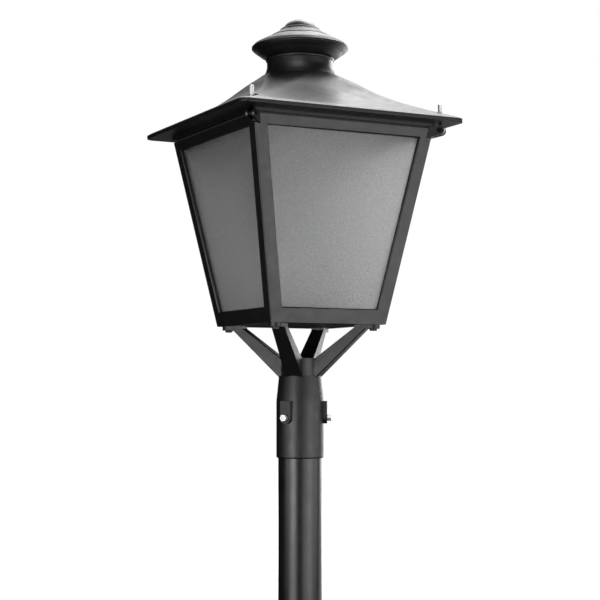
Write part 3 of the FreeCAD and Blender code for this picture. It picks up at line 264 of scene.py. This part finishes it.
def opal_lamp():
    """Opal coated bulb: a white powder inside clear glass."""
    material, tree, shader, place = start_finish(
        "lamp_glass", 0.22, IOR=1.5, Transmission_Weight=0.15, Coat_Weight=0.5,
        Coat_Roughness=0.06)
    powder = grain(tree, place, 90.0, 5.0)
    colour = tones(tree, powder, (0.3, (0.80, 0.80, 0.77)), (0.7, (0.92, 0.92, 0.90)))
    rough = spread(tree, powder, (0.3, 0.7), (0.20, 0.34))
    finish_shader(tree, shader, colour, rough, relief(tree, powder, 0.08))
    return material


# Shades and roughness run from a low to a high value; peel and cast are depths in mm
BLACK_COATS = {
    "lantern_coat": dict(shade=(0.0018, 0.0038), rough=(0.38, 0.48), peel=0.06, dust=0.03,
                         cast=0.10),
    "cap_coat": dict(shade=(0.0018, 0.0038), rough=(0.40, 0.50), peel=0.06, dust=0.03,
                     cast=0.10, gloss=0.34),
    "knob_coat": dict(shade=(0.0024, 0.0044), rough=(0.34, 0.44), peel=0.06, dust=0.03,
                      cast=0.06, gloss=0.9),
    "post_paint": dict(shade=(0.0025, 0.0045), rough=(0.30, 0.38), peel=0.04, dust=0.02),
    "dark_fasteners": dict(shade=(0.006, 0.014), rough=(0.36, 0.50), peel=0.05),
    "nut_black": dict(shade=(0.002, 0.005), rough=(0.50, 0.62), peel=0.05, dust=0.03, gloss=0.15),
    "gland_plastic": dict(shade=(0.010, 0.016), rough=(0.42, 0.52), peel=0.03),
}

# Streaks are numbers of patches to a metre along X, Y and Z
TURNED = (60, 60, 1500)
DRAWN_ALONG_X = (60, 1400, 1400)
DRAWN_ALONG_Z = (900, 900, 30)
# The closing screws are black over this length in mm from their lower ends: painted shade where they
# stand in the eave's shadow
PAINTED_SHADE_LENGTH = 33.0
painted_shade_line = mm(stand("closing_screw_left")[0] + PAINTED_SHADE_LENGTH)
BARE_METALS = {
    "bright_steel": dict(shade=(0.86, 0.86, 0.85), rough=(0.42, 0.58), streaks=TURNED),
    "closing_steel": dict(shade=(0.86, 0.86, 0.85), rough=(0.42, 0.58), streaks=TURNED,
                          painted_shade_below=painted_shade_line),
    "bare_aluminium": dict(shade=(0.80, 0.81, 0.82), rough=(0.30, 0.46), streaks=DRAWN_ALONG_X),
    "capacitor_can": dict(shade=(0.82, 0.83, 0.84), rough=(0.22, 0.38), streaks=DRAWN_ALONG_Z),
}
ENAMELS = {
    "ballast_can": dict(shade=(0.20, 0.21, 0.23), rough=(0.30, 0.48), peel_scale=700.0, peel=0.10),
    "gear_plastic": dict(shade=(0.70, 0.70, 0.66), rough=(0.38, 0.52), peel_scale=1100.0,
                         peel=0.04),
    "terminal_plastic": dict(shade=(0.64, 0.62, 0.55), rough=(0.42, 0.56), peel_scale=1100.0,
                             peel=0.05),
    "white_paint": dict(shade=(0.84, 0.84, 0.82), rough=(0.18, 0.30), peel_scale=420.0, peel=0.06,
                        coat=0.4),
    "porcelain": dict(shade=(0.82, 0.81, 0.77), rough=(0.10, 0.20), peel_scale=160.0, peel=0.08,
                      coat=0.6),
}
FINISHES = {"pane_glass": stippled_pane(), "rubber": rubber(), "zinc_sheet": zinc_sheet(),
            "lamp_glass": opal_lamp()}
for maker, looks in ((black_coat, BLACK_COATS), (bare_metal, BARE_METALS), (enamel, ENAMELS)):
    for name, look in looks.items():
        FINISHES[name] = maker(name, **look)

for part in frame["record"]["subparts"]:
    node = nodes[part["node"]]
    node.data.materials.clear()
    node.data.materials.append(FINISHES[part["material_slot"]])
nodes["barrel_nuts"].data.materials[0] = FINISHES["nut_black"]


# Modelling by hand, with sizes in mm
# A face looks along an axis above the first of these cosines, and across it below the second
ALONG = 0.9
ACROSS = 0.1


def opened(name):
    """Names the primitive that was just added and opens it with all of it selected."""
    piece = bpy.context.object
    piece.name = name
    piece.data.name = name
    bpy.ops.object.mode_set(mode="EDIT")
    bpy.ops.mesh.select_all(action="SELECT")
    return piece


def closed():
    """Leaves the modelling of the piece that was opened."""
    bpy.ops.object.mode_set(mode="OBJECT")


def pick_faces(piece, wanted):
    """Selects the faces whose centre and normal pass the test."""
    bpy.ops.mesh.select_all(action="DESELECT")
    mesh = bmesh.from_edit_mesh(piece.data)
    for face in mesh.faces:
        if wanted(face.calc_center_median(), face.normal):
            face.select_set(True)
    bmesh.update_edit_mesh(piece.data)


def inset(width, each=False):
    bpy.ops.mesh.inset(thickness=mm(width), use_individual=each)


def shift(x, y, z):
    bpy.ops.transform.translate(value=(mm(x), mm(y), mm(z)))


def extrude_up(height):
    bpy.ops.mesh.extrude_region_move(TRANSFORM_OT_translate={"value": (0, 0, mm(height))})


def soften(piece, width, steps=2, angle=32.0):
    """Rounds every edge that is sharper than the angle."""
    bpy.ops.object.modifier_add(type="BEVEL")
    rounding = piece.modifiers[-1]
    rounding.width = mm(width)
    rounding.segments = steps
    rounding.limit_method = "ANGLE"
    rounding.angle_limit = math.radians(angle)
    bpy.ops.object.modifier_apply(modifier=rounding.name)


def settle(piece, smooth=40.0):
    """Puts the piece's place into its mesh and shades it smooth, with flat faces kept flat."""
    bpy.ops.object.transform_apply(location=True, rotation=True, scale=True)
    bpy.ops.object.shade_smooth_by_angle(angle=math.radians(smooth))
    bpy.ops.object.modifier_add(type="WEIGHTED_NORMAL")
    even = piece.modifiers[-1]
    even.keep_sharp = True
    even.weight = 80
    bpy.ops.object.modifier_apply(modifier=even.name)


def fit(piece, node, body, slot, finish=None):
    """Hands the piece to the frame: its finish, the body it rides on and the node it dresses."""
    piece.data.materials.clear()
    piece.data.materials.append(FINISHES[finish or slot])
    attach(piece, body)
    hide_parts(node)
    bpy.ops.object.select_all(action="DESELECT")


def choose(piece):
    bpy.ops.object.select_all(action="DESELECT")
    piece.select_set(True)
    bpy.context.view_layer.objects.active = piece


def another(piece, name):
    """A copy of the piece with a mesh of its own."""
    choose(piece)
    bpy.ops.object.duplicate()
    made = bpy.context.object
    made.name = name
    made.data.name = name
    return made


def row_of(pattern, stem, count):
    """Pieces like the pattern: copies numbered from 2, made one by one, and then the pattern."""
    for number in range(2, count + 1):
        yield another(pattern, f"{stem}_{number}")
    yield pattern


def put(piece, place, rotation=(0, 0, 0), smooth=40.0):
    """Moves the piece to its place in mm, turns it and settles it there."""
    choose(piece)
    piece.location = tuple(mm(part) for part in place)
    piece.rotation_euler = rotation
    settle(piece, smooth)


def bend(start, end, sag, steps):
    """Points of a curve from start to end that bows by sag to the right of the way."""
    (r0, z0), (r1, z1) = start, end
    length = math.hypot(r1 - r0, z1 - z0)
    bowed = ((r0 + r1) / 2 + 2 * sag * (z1 - z0) / length,
             (z0 + z1) / 2 - 2 * sag * (r1 - r0) / length)
    points = []
    for step in range(1, steps + 1):
        t = step / steps
        points.append(tuple((1 - t) ** 2 * a + 2 * t * (1 - t) * m + t * t * b
                            for a, m, b in zip(start, bowed, end)))
    return points


def outline(*corners):
    """A profile: a corner is its radius and height, and where the way to it bows, a sag and steps."""
    points = []
    for radius, height, *bow in corners:
        if bow:
            points += bend(points[-1], (radius, height), *bow)
        else:
            points.append((radius, height))
    return points


def threads(radius, depth, low, high, pitch):
    """Crests and roots of a screw thread from low to high, as steps of a profile."""
    steps = []
    level = low
    while level + pitch <= high:
        steps += [(radius - depth, level), (radius, level + 0.5 * pitch),
                  (radius - depth, level + pitch)]
        level += pitch * 1.02
    return steps


def turned(name, profile, base=0.0, around=96, place=(0.0, 0.0), hollow=False):
    """Draws a ring up a profile, whose heights are above the base, then closes it."""
    x, y = mm(place[0]), mm(place[1])
    radius, height = profile[0]
    bpy.ops.mesh.primitive_circle_add(vertices=around, radius=mm(radius),
                                      location=(x, y, mm(base + height)))
    piece = opened(name)
    for wide, level in profile[1:]:
        bpy.ops.mesh.extrude_edges_move(
            TRANSFORM_OT_translate={"value": (0, 0, mm(level - height))})
        ratio = wide / radius
        bpy.ops.transform.resize(value=(ratio, ratio, 1),
                                 center_override=(x, y, mm(base + level)))
        radius, height = wide, level
    bpy.ops.mesh.select_all(action="DESELECT")
    bpy.ops.mesh.select_non_manifold()
    if hollow:
        bpy.ops.mesh.bridge_edge_loops()
    else:
        bpy.ops.mesh.fill_holes(sides=0)
    bpy.ops.mesh.select_all(action="SELECT")
    bpy.ops.mesh.normals_make_consistent(inside=False)
    closed()
    return piece


# Chimney, cap and finial
TIE_HOLE = 4.4
CAP_SHEET = 2.5


def chimney_neck():
    """Cast neck: a foot ring, a flare above it, a plain throat and a bead under the cap."""
    bore, foot, throat, bead = 62.0, 76.0, 68.5, 70.2
    base, tall = stand("chimney_neck")
    profile = outline((bore, 0), (foot, 0), (foot, 2.3), (foot - 0.8, 3),
                      (throat, 22, -1.2, 10), (throat, 33.2), (throat + 0.7, 33.8),
                      (bead, tall - 0.4, 1.6, 8), (bead - 0.8, tall), (bore, tall))
    neck = turned("chimney_neck_casting", profile, base, around=128, hollow=True)
    soften(neck, 0.4)
    settle(neck)
    fit(neck, "chimney_neck", "roof", "lantern_coat")


def cap_pan():
    """Lower shell of the cap: a flat floor on the neck, and a dished side up to its brim."""
    seat, brim = 68.2, 99.6
    base, tall = stand("cap_pan")
    profile = outline((TIE_HOLE, 0), (seat, 0), (88, tall / 2, 1.6, 8),
                      (brim - 0.4, tall - 2.4, 0.7, 6), (brim, tall, 0.9, 4), (brim - 2.6, tall),
                      (67, CAP_SHEET, -2.2, 8), (TIE_HOLE, CAP_SHEET))
    pan = turned("cap_pan_spinning", profile, base, around=128, hollow=True)
    soften(pan, 0.3)
    settle(pan, smooth=14)
    fit(pan, "cap_pan", "roof", "lantern_coat")


def cap_cone():
    """Upper shell of the cap: a rolled rim, a cone in two steps and a flat seat for the knob."""
    rim, shoulder, step, neck, seat = 99.0, 94.4, 62.0, 42.0, 38.0
    base, tall = stand("cap_cone")
    inside = tall - CAP_SHEET
    profile = outline((rim - 2.5, 0), (rim, 0), (rim, 2.6, 1.1, 6), (shoulder, 7.6),
                      (step, 23.8, 0.6, 8), (step - 2.6, 26.4, 0.5, 4), (neck, 37.6, -0.5, 8),
                      (seat + 0.6, tall - 0.4, 0.6, 4), (seat, tall), (TIE_HOLE, tall),
                      (TIE_HOLE, inside), (seat - 2, inside), (step - 4, 23.4), (89, 8.6))
    cone = turned("cap_cone_spinning", profile, base, around=128, hollow=True)
    soften(cone, 0.3)
    settle(cone, smooth=14)
    fit(cone, "cap_cone", "roof", "lantern_coat", "cap_coat")


def finial_knob():
    """Turned knob: a short wall and a low dome with a flat top."""
    bore, wall, crown = 4.05, 33.5, 16.4
    base, tall = stand("finial_knob")
    profile = outline((bore, 0), (wall - 0.9, 0), (wall, 0.8), (wall, 2.2),
                      (crown, tall - 1.2, 2.4, 10), (crown - 2.9, tall - 0.2, 0.4, 3), (6, tall),
                      (0.6, tall))
    knob = turned("finial_knob_turning", profile, base)
    soften(knob, 0.3)
    settle(knob, smooth=14)
    fit(knob, "finial_knob", "roof", "lantern_coat", "knob_coat")


# Screws and bolts
M8_RADIUS, M8_PITCH, M8_SPANNER = 4.0, 1.25, 13.0


def closing_screws():
    """Stainless closing screws: threaded shank, thin collar, waist and a round-topped head."""
    shank, collar, waist, head = 2.9, 5.2, 4.3, 4.9
    for name in ("closing_screw_left", "closing_screw_right"):
        base, tall = stand(name)
        profile = [(2.2, 0), (2.6, 0.6)] + threads(3.0, 0.42, 0.8, 31.8, 1.0)
        profile += outline((shank, 32.4), (shank, 33.9), (collar - 0.2, 34), (collar, 34.3),
                           (collar, 36.7), (collar - 0.3, 37), (waist, 37.2), (waist, 40.8),
                           (head - 0.2, 41), (head, 41.3), (head, tall - 2.2),
                           (head - 2.2, tall, 0.6, 6), (0.8, tall))
        screw = turned(name.replace("screw", "screw_turning"), profile, base, around=32,
                       place=middle(name)[:2])
        settle(screw, smooth=32)
        fit(screw, name, name, "bright_steel", "closing_steel")


def hexagon_bolt(name, head, length, socket=0.0):
    """An M8 bolt along +Z: hexagon head under the origin with a chamfered end, thread above."""
    corner = M8_SPANNER / math.sqrt(3)
    bpy.ops.mesh.primitive_cylinder_add(vertices=6, radius=mm(corner), depth=mm(head),
                                        location=(0, 0, -mm(head) / 2))
    bolt = opened(name)
    pick_faces(bolt, lambda spot, normal: normal.z < -ALONG)
    inset(corner * 0.11)
    shift(0, 0, -head * 0.02)
    if socket:
        pick_faces(bolt, lambda spot, normal: normal.z < -ALONG
                   and math.hypot(spot.x, spot.y) < mm(corner) * 0.3)
        inset(corner * 0.34)
        extrude_up(socket)
    bpy.ops.mesh.select_all(action="SELECT")
    bpy.ops.mesh.normals_make_consistent(inside=False)
    closed()
    soften(bolt, head * 0.05, angle=25)
    groove = 0.5
    profile = ([(M8_RADIUS - groove, -0.5)]
               + threads(M8_RADIUS, groove, -0.5, length - 0.6, M8_PITCH)
               + [(M8_RADIUS - 1.0, length)])
    turned(name + "_shank", profile, around=28)
    bolt.select_set(True)
    bpy.context.view_layer.objects.active = bolt
    bpy.ops.object.join()
    return bolt


def set_screws():
    """Three set screws in the sleeve's pads, with their heads outwards."""
    head = 8.0
    seat = round(extent("set_screws")[1][1], 2) - head
    level = middle("set_screws")[2]
    pads = [math.radians(turn) for turn in (90, 210, 330)]
    first = hexagon_bolt("set_screw_1", head, length=15.3, socket=3.0)
    for screw, out in zip(row_of(first, "set_screw", len(pads)), pads):
        put(screw, (math.cos(out) * seat, math.sin(out) * seat, level),
            (0, math.radians(-90), out), smooth=35)
        fit(screw, "set_screws", "lantern", "bright_steel")


def foot_fixings():
    """The four bolts that hold the body on the arms, their heads at odds, and their washers."""
    bore, edge, turn = 4.3, 8.0, 0.3
    base, thick = stand("foot_washers")
    reach = round(extent("foot_washers")[1][0], 2) - edge
    spots = [(reach, reach), (-reach, reach), (-reach, -reach), (reach, -reach)]
    profile = outline((bore, 0), (edge - 0.4, 0), (edge, 0.4), (edge, thick - 0.4),
                      (edge - 0.4, thick), (bore, thick))
    first_bolt = hexagon_bolt("foot_bolt_1", head=5.3, length=21.6)
    first_washer = turned("foot_washer_1", profile, base, around=48, hollow=True)
    bolts = row_of(first_bolt, "foot_bolt", len(spots))
    washers = row_of(first_washer, "foot_washer", len(spots))
    for index, (bolt, washer, (x, y)) in enumerate(zip(bolts, washers, spots)):
        put(bolt, (x, y, base), (0, 0, turn * index), smooth=35)
        fit(bolt, "foot_bolts", "lantern", "dark_fasteners")
        put(washer, (x, y, base))
        fit(washer, "foot_washers", "lantern", "dark_fasteners")


# Castings with eased edges
def eased_casting(node, name, width):
    """The casting's own form with its sharp edges rounded as a mould leaves them."""
    choose(nodes[node])
    bpy.ops.object.duplicate()
    bpy.context.object.modifiers.clear()
    piece = opened(name)
    bpy.ops.mesh.remove_doubles(threshold=mm(0.02))
    bpy.ops.mesh.dissolve_limited(angle_limit=math.radians(1.0))
    bpy.ops.mesh.customdata_custom_splitnormals_clear()
    closed()
    soften(piece, width, angle=40)
    settle(piece, smooth=38)
    fit(piece, node, "lantern", "lantern_coat")


# Lamp and its holder; heights are above the holder's mouth
def lamp_bulb(mouth):
    """Opal bulb, widest near its tip, with a neck that runs up into the screw cap."""
    widest, neck = 38.0, 18.0
    tip = round(extent("lamp")[0][2], 2) - mouth
    profile = outline((1, tip), (widest, tip + widest, 15.6, 18), (neck + 0.4, -26, 3.2, 12),
                      (neck, -5, -0.2, 3), (13.2, -3, 0.8, 4), (8, -3))
    bulb = turned("lamp_bulb", profile, mouth, around=64)
    settle(bulb)
    fit(bulb, "lamp", "roof", "lamp_glass")


def lamp_screw_cap(mouth):
    """Screw cap of the lamp, with a rolled thread and a contact at its top."""
    shell, thread = 13.9, 13.3
    profile = ([(shell, -4.6), (shell, -2), (12.6, -1.4)] + threads(thread, 0.9, -1.2, 18.5, 3.6)
               + [(12.2, 19.4), (9, 21.2), (5, 21.8), (4.6, 24.4), (1, 24.8)])
    cap = turned("lamp_screw_cap", profile, mouth, around=48)
    soften(cap, 0.3)
    settle(cap, smooth=50)
    fit(cap, "lamp", "roof", "bare_aluminium")


def lamp_holder(mouth):
    """Ribbed porcelain holder with a narrow neck and a flange under the tray."""
    bore, wall, rib, neck, flange = 13.8, 22.2, 23.0, 18.0, 30.9
    rib_count, rib_pitch = 8, 4.2
    flange_base = 54.0
    tall = stand("lamp_holder")[1]
    ribs = []
    for number in range(rib_count):
        low = 3.0 + number * rib_pitch
        ribs += [(wall, low), (rib, low + 0.8), (rib, low + 2.4), (wall, low + 3.2)]
    profile = outline((bore, 0), (wall - 0.6, 0), (wall + 0.4, 0.8), *ribs, (wall + 0.4, 40),
                      (neck, 46, 0.8, 4), (neck, flange_base - 1.4),
                      (neck + 1.4, flange_base, -0.4, 3), (flange - 0.9, flange_base),
                      (flange, flange_base + 0.6), (flange, tall - 0.4), (flange - 0.5, tall),
                      (bore, tall))
    holder = turned("lamp_holder_porcelain", profile, mouth, around=64, hollow=True)
    soften(holder, 0.4)
    settle(holder)
    fit(holder, "lamp_holder", "roof", "porcelain")


# Gear on the tray
FOOT_EARS = 24.0
TRAY_TOP = sum(stand("gear_tray"))


def box_blank(name, centre, lengths):
    """A box with its place and size in its mesh, opened for modelling."""
    bpy.ops.mesh.primitive_cube_add(size=1, location=tuple(mm(part) for part in centre))
    bpy.context.object.scale = tuple(mm(part) for part in lengths)
    bpy.ops.object.transform_apply(location=True, rotation=True, scale=True)
    return opened(name)


def gear_case(node):
    """Middle and lengths of a gear box without the ears of its foot strip."""
    long, deep, tall = size(node)
    return middle(node), (long - FOOT_EARS, deep, tall)


def every_other(left, width):
    """A test for spots in the first, third, fifth and so on of a row of cells along X."""
    return lambda spot: int((spot.x - mm(left)) / mm(width)) % 2 == 0


def foot_strip(name, node, slot):
    """The strip under a gear box, which reaches past it at both ends for the screws."""
    wide, thick = 12.0, 2.0
    x, y, _ = middle(node)
    strip = box_blank(name, (x, y, TRAY_TOP + thick / 2), (size(node)[0], wide, thick))
    pick_faces(strip, lambda spot, normal: abs(normal.x) > ALONG)
    inset(0.8)
    closed()
    soften(strip, 0.6)
    settle(strip)
    fit(strip, node, "roof", slot)


def ballast():
    """Ballast: a core of stacked sheets between two moulded coil covers, on its foot strip."""
    core_length, sheet_count, sheet_step = 70.0, 28, 0.985
    cover_size, cover_reach = (20.6, 44.0, 40.0), 44.5
    (x, y, z), (_, deep, tall) = gear_case("ballast")
    core = box_blank("ballast_core", (x, y, z), (core_length, deep, tall))
    bpy.ops.mesh.subdivide(number_cuts=sheet_count - 1)
    low_sheet = every_other(x - core_length / 2, core_length / sheet_count)
    pick_faces(core, lambda spot, normal: abs(normal.x) < ACROSS and low_sheet(spot))
    bpy.ops.mesh.extrude_region_move()
    bpy.ops.transform.resize(value=(1, sheet_step, sheet_step),
                             center_override=(mm(x), mm(y), mm(z)))
    closed()
    settle(core, smooth=20)
    fit(core, "ballast", "roof", "ballast_can")

    for side, name in ((-1, "left"), (1, "right")):
        cover = box_blank("ballast_cover_" + name, (x + side * cover_reach, y, z), cover_size)
        pick_faces(cover, lambda spot, normal: normal.x * side > ALONG)
        inset(4.0)
        inset(6.0)
        shift(-side * 2.0, 0, 0)
        closed()
        soften(cover, 2.2, steps=3)
        settle(cover)
        fit(cover, "ballast", "roof", "gear_plastic")
    foot_strip("ballast_feet", "ballast", "zinc_sheet")


def igniter():
    """Igniter: a moulded case with a shallow recess in its lid, on its foot strip."""
    case = box_blank("igniter_case", *gear_case("igniter"))
    pick_faces(case, lambda spot, normal: normal.z > ALONG)
    inset(3.0)
    inset(1.2)
    shift(0, 0, -1.2)
    closed()
    soften(case, 1.5, steps=3)
    settle(case)
    fit(case, "igniter", "roof", "gear_plastic")
    foot_strip("igniter_feet", "igniter", "gear_plastic")


def terminal_block():
    """A row of five ways, each with its screw well and wire mouths, on its foot strip."""
    ways = 5
    centre, lengths = gear_case("terminal_block")
    left = centre[0] - lengths[0] / 2
    cell = lengths[0] / (2 * ways)
    block = box_blank("terminal_body", centre, lengths)
    for cut in range(1, 2 * ways):
        bpy.ops.mesh.select_all(action="SELECT")
        bpy.ops.mesh.bisect(plane_co=(mm(left + cut * cell), 0, 0), plane_no=(1, 0, 0))
    in_way = every_other(left, cell)
    pick_faces(block, lambda spot, normal: normal.z > ALONG and in_way(spot))
    inset(0.9, each=True)
    extrude_up(-6.0)
    pick_faces(block, lambda spot, normal: abs(normal.y) > ALONG and in_way(spot))
    inset(1.4, each=True)
    bpy.ops.mesh.extrude_region_shrink_fatten(TRANSFORM_OT_shrink_fatten={"value": mm(-3.0)})
    closed()
    soften(block, 0.3)
    settle(block)
    fit(block, "terminal_block", "roof", "terminal_plastic")
    foot_strip("terminal_feet", "terminal_block", "terminal_plastic")


def capacitor():
    """Drawn can with a rounded foot, a rolled top edge and a sunk lid."""
    wall = 17.5
    base, tall = stand("capacitor")
    profile = outline((wall - 2, 0), (wall - 0.5, 0), (wall, 0.5), (wall, 3.5, -0.5, 4),
                      (wall, tall - 5.4), (wall, tall - 2.6, -0.7, 4),
                      (wall - 1.9, tall - 0.1, 0.5, 4), (wall - 2.7, tall - 0.6),
                      (wall - 3.1, tall - 2.2), (3, tall - 2.2))
    can = turned("capacitor_drawn_can", profile, base, around=56, place=middle("capacitor")[:2])
    settle(can)
    fit(can, "capacitor", "roof", "capacitor_can")


chimney_neck()
cap_pan()
cap_cone()
finial_knob()
closing_screws()
set_screws()
foot_fixings()
eased_casting("body_frame", "body_casting", 0.7)
eased_casting("bracket_casting", "bracket_with_eased_edges", 0.9)
holder_mouth = stand("lamp_holder")[0]
lamp_bulb(holder_mouth)
lamp_screw_cap(holder_mouth)
lamp_holder(holder_mouth)
ballast()
igniter()
terminal_block()
capacitor()


# Studio, in metres
WHITE = (1, 1, 1, 1)
ROOM_STRENGTH = 0.012

# Each soft box: its place, the height on the lantern's axis that it faces, its width and height,
# and its radiance
SOFT_BOXES = {
    "left_strip": ((-2.45, -0.98, 0.42), 0.45, (0.42, 0.8), 10.4),
    "left_front_strip": ((-2.13, -1.49, 0.42), 0.45, (0.35, 0.8), 10.1),
    "left_wide": ((-2.65, 0.25, 0.35), 0.35, (1.0, 0.66), 3.1),
    "low_left": ((-1.9, -0.9, 0.03), 0.6, (1.2, 1.2), 3.3),
    "low_front": ((0.5, -2.3, 0.03), 0.6, (2.2, 1.2), 2.8),
    "front_panel": ((2.1, -2.8, 0.5), 0.5, (3.2, 1.9), 2.3),
    "right_front": ((2.9, -1.1, 0.5), 0.5, (1.0, 1.2), 2.6),
    "right_low": ((2.2, 0.8, 0.03), 0.8, (1.4, 1.4), 1.0),
    "right_rear": ((2.6, 1.7, 0.9), 0.8, (1.6, 1.8), 2.8),
    "right_rear_high": ((2.7, 1.4, 1.8), 0.9, (1.2, 1.2), 8.4),
    "backdrop": ((2.2, 2.9, 2.1), 1.2, (4.2, 3.4), 0.6),
    "high_front_left": ((-1.7, -2.3, 3.0), 1.15, (1.6, 1.6), 6.0),
    "front_high": ((-1.25, -2.5, 1.9), 1.15, (1.4, 0.7), 0.5),
    "top_rear": ((1.3, 1.1, 3.3), 1.05, (1.8, 1.8), 4.0),
    "top_rear_left": ((0.5, 1.6, 3.2), 1.05, (1.6, 1.6), 2.1),
    "top_right": ((1.3, 0.1, 3.4), 1.05, (1.6, 1.6), 4.0),
    "top_panel": ((1.2, 0.9, 3.3), 1.0, (3.6, 3.6), 0.6),
}


def studio_world():
    """White surroundings for the camera, and a dim room for everything that they would light."""
    world = bpy.data.worlds.new("studio")
    world.use_nodes = True
    tree = world.node_tree
    room = tree.nodes["Background"]
    room.inputs["Color"].default_value = WHITE
    room.inputs["Strength"].default_value = ROOM_STRENGTH
    paper = add_node(tree, "Background", {"Color": WHITE, "Strength": 1.0})
    seen = add_node(tree, "LightPath").outputs["Is Camera Ray"]
    both = add_node(tree, "MixShader", {0: seen, 1: room.outputs[0], 2: paper.outputs[0]})
    tree.links.new(both.outputs[0], tree.nodes["World Output"].inputs["Surface"])
    scene.world = world


def pale_floor():
    """A wide pale floor that turns into the white surroundings further out."""
    wide, below_post = 60, 0.0005
    glow_from, glow_full = 0.4, 1.6
    bpy.ops.mesh.primitive_plane_add(size=wide, location=(0, 0, -below_post))
    floor = bpy.context.object
    floor.name = "studio_floor"
    material, tree, shader, place = start_finish("floor_paper", 0.9)
    distance = add_node(tree, "VectorMath", {0: place}, operation="LENGTH").outputs["Value"]
    glow = spread(tree, distance, (glow_from, glow_full), (0.35, 1.0))
    tree.links.new(glow, shader.inputs["Emission Strength"])
    shader.inputs["Emission Color"].default_value = WHITE
    paper = tones(tree, grain(tree, place, 30.0), (0.3, 0.86), (0.7, 0.88))
    finish_shader(tree, shader, paper)
    floor.data.materials.append(material)
    floor.visible_glossy = False
    floor.visible_diffuse = False
    floor.visible_transmission = False
    floor.visible_shadow = False


def soft_light(name, place, faces, lengths, radiance):
    """A flat soft box with an even face; its power follows from its size and radiance."""
    width, height = lengths
    lamp = bpy.data.lights.new(name, "AREA")
    lamp.shape = "RECTANGLE"
    lamp.size, lamp.size_y = width, height
    lamp.energy = radiance * math.pi * width * height
    box = bpy.data.objects.new(name, lamp)
    scene.collection.objects.link(box)
    box.location = place
    way = Vector((0, 0, faces)) - Vector(place)
    box.rotation_euler = way.to_track_quat("-Z", "Y").to_euler()
    box.visible_camera = False


def camera():
    """Stands low in front of the lantern, to its left, and looks slightly up."""
    focal_length, sensor_width = 89.06, 36.0
    place = (-1.3862, -2.7111, 0.4914)
    tilt_up, turn = 3.411, -27.081
    lens = bpy.data.cameras.new("photo_camera")
    lens.lens = focal_length
    lens.sensor_width = sensor_width
    view = bpy.data.objects.new("photo_camera", lens)
    scene.collection.objects.link(view)
    view.location = place
    view.rotation_euler = (math.radians(90 + tilt_up), 0, math.radians(turn))
    scene.camera = view


studio_world()
pale_floor()
for name, (place, faces, lengths, radiance) in SOFT_BOXES.items():
    soft_light(name, place, faces, lengths, radiance)
camera()
scene.view_settings.view_transform = "Standard"
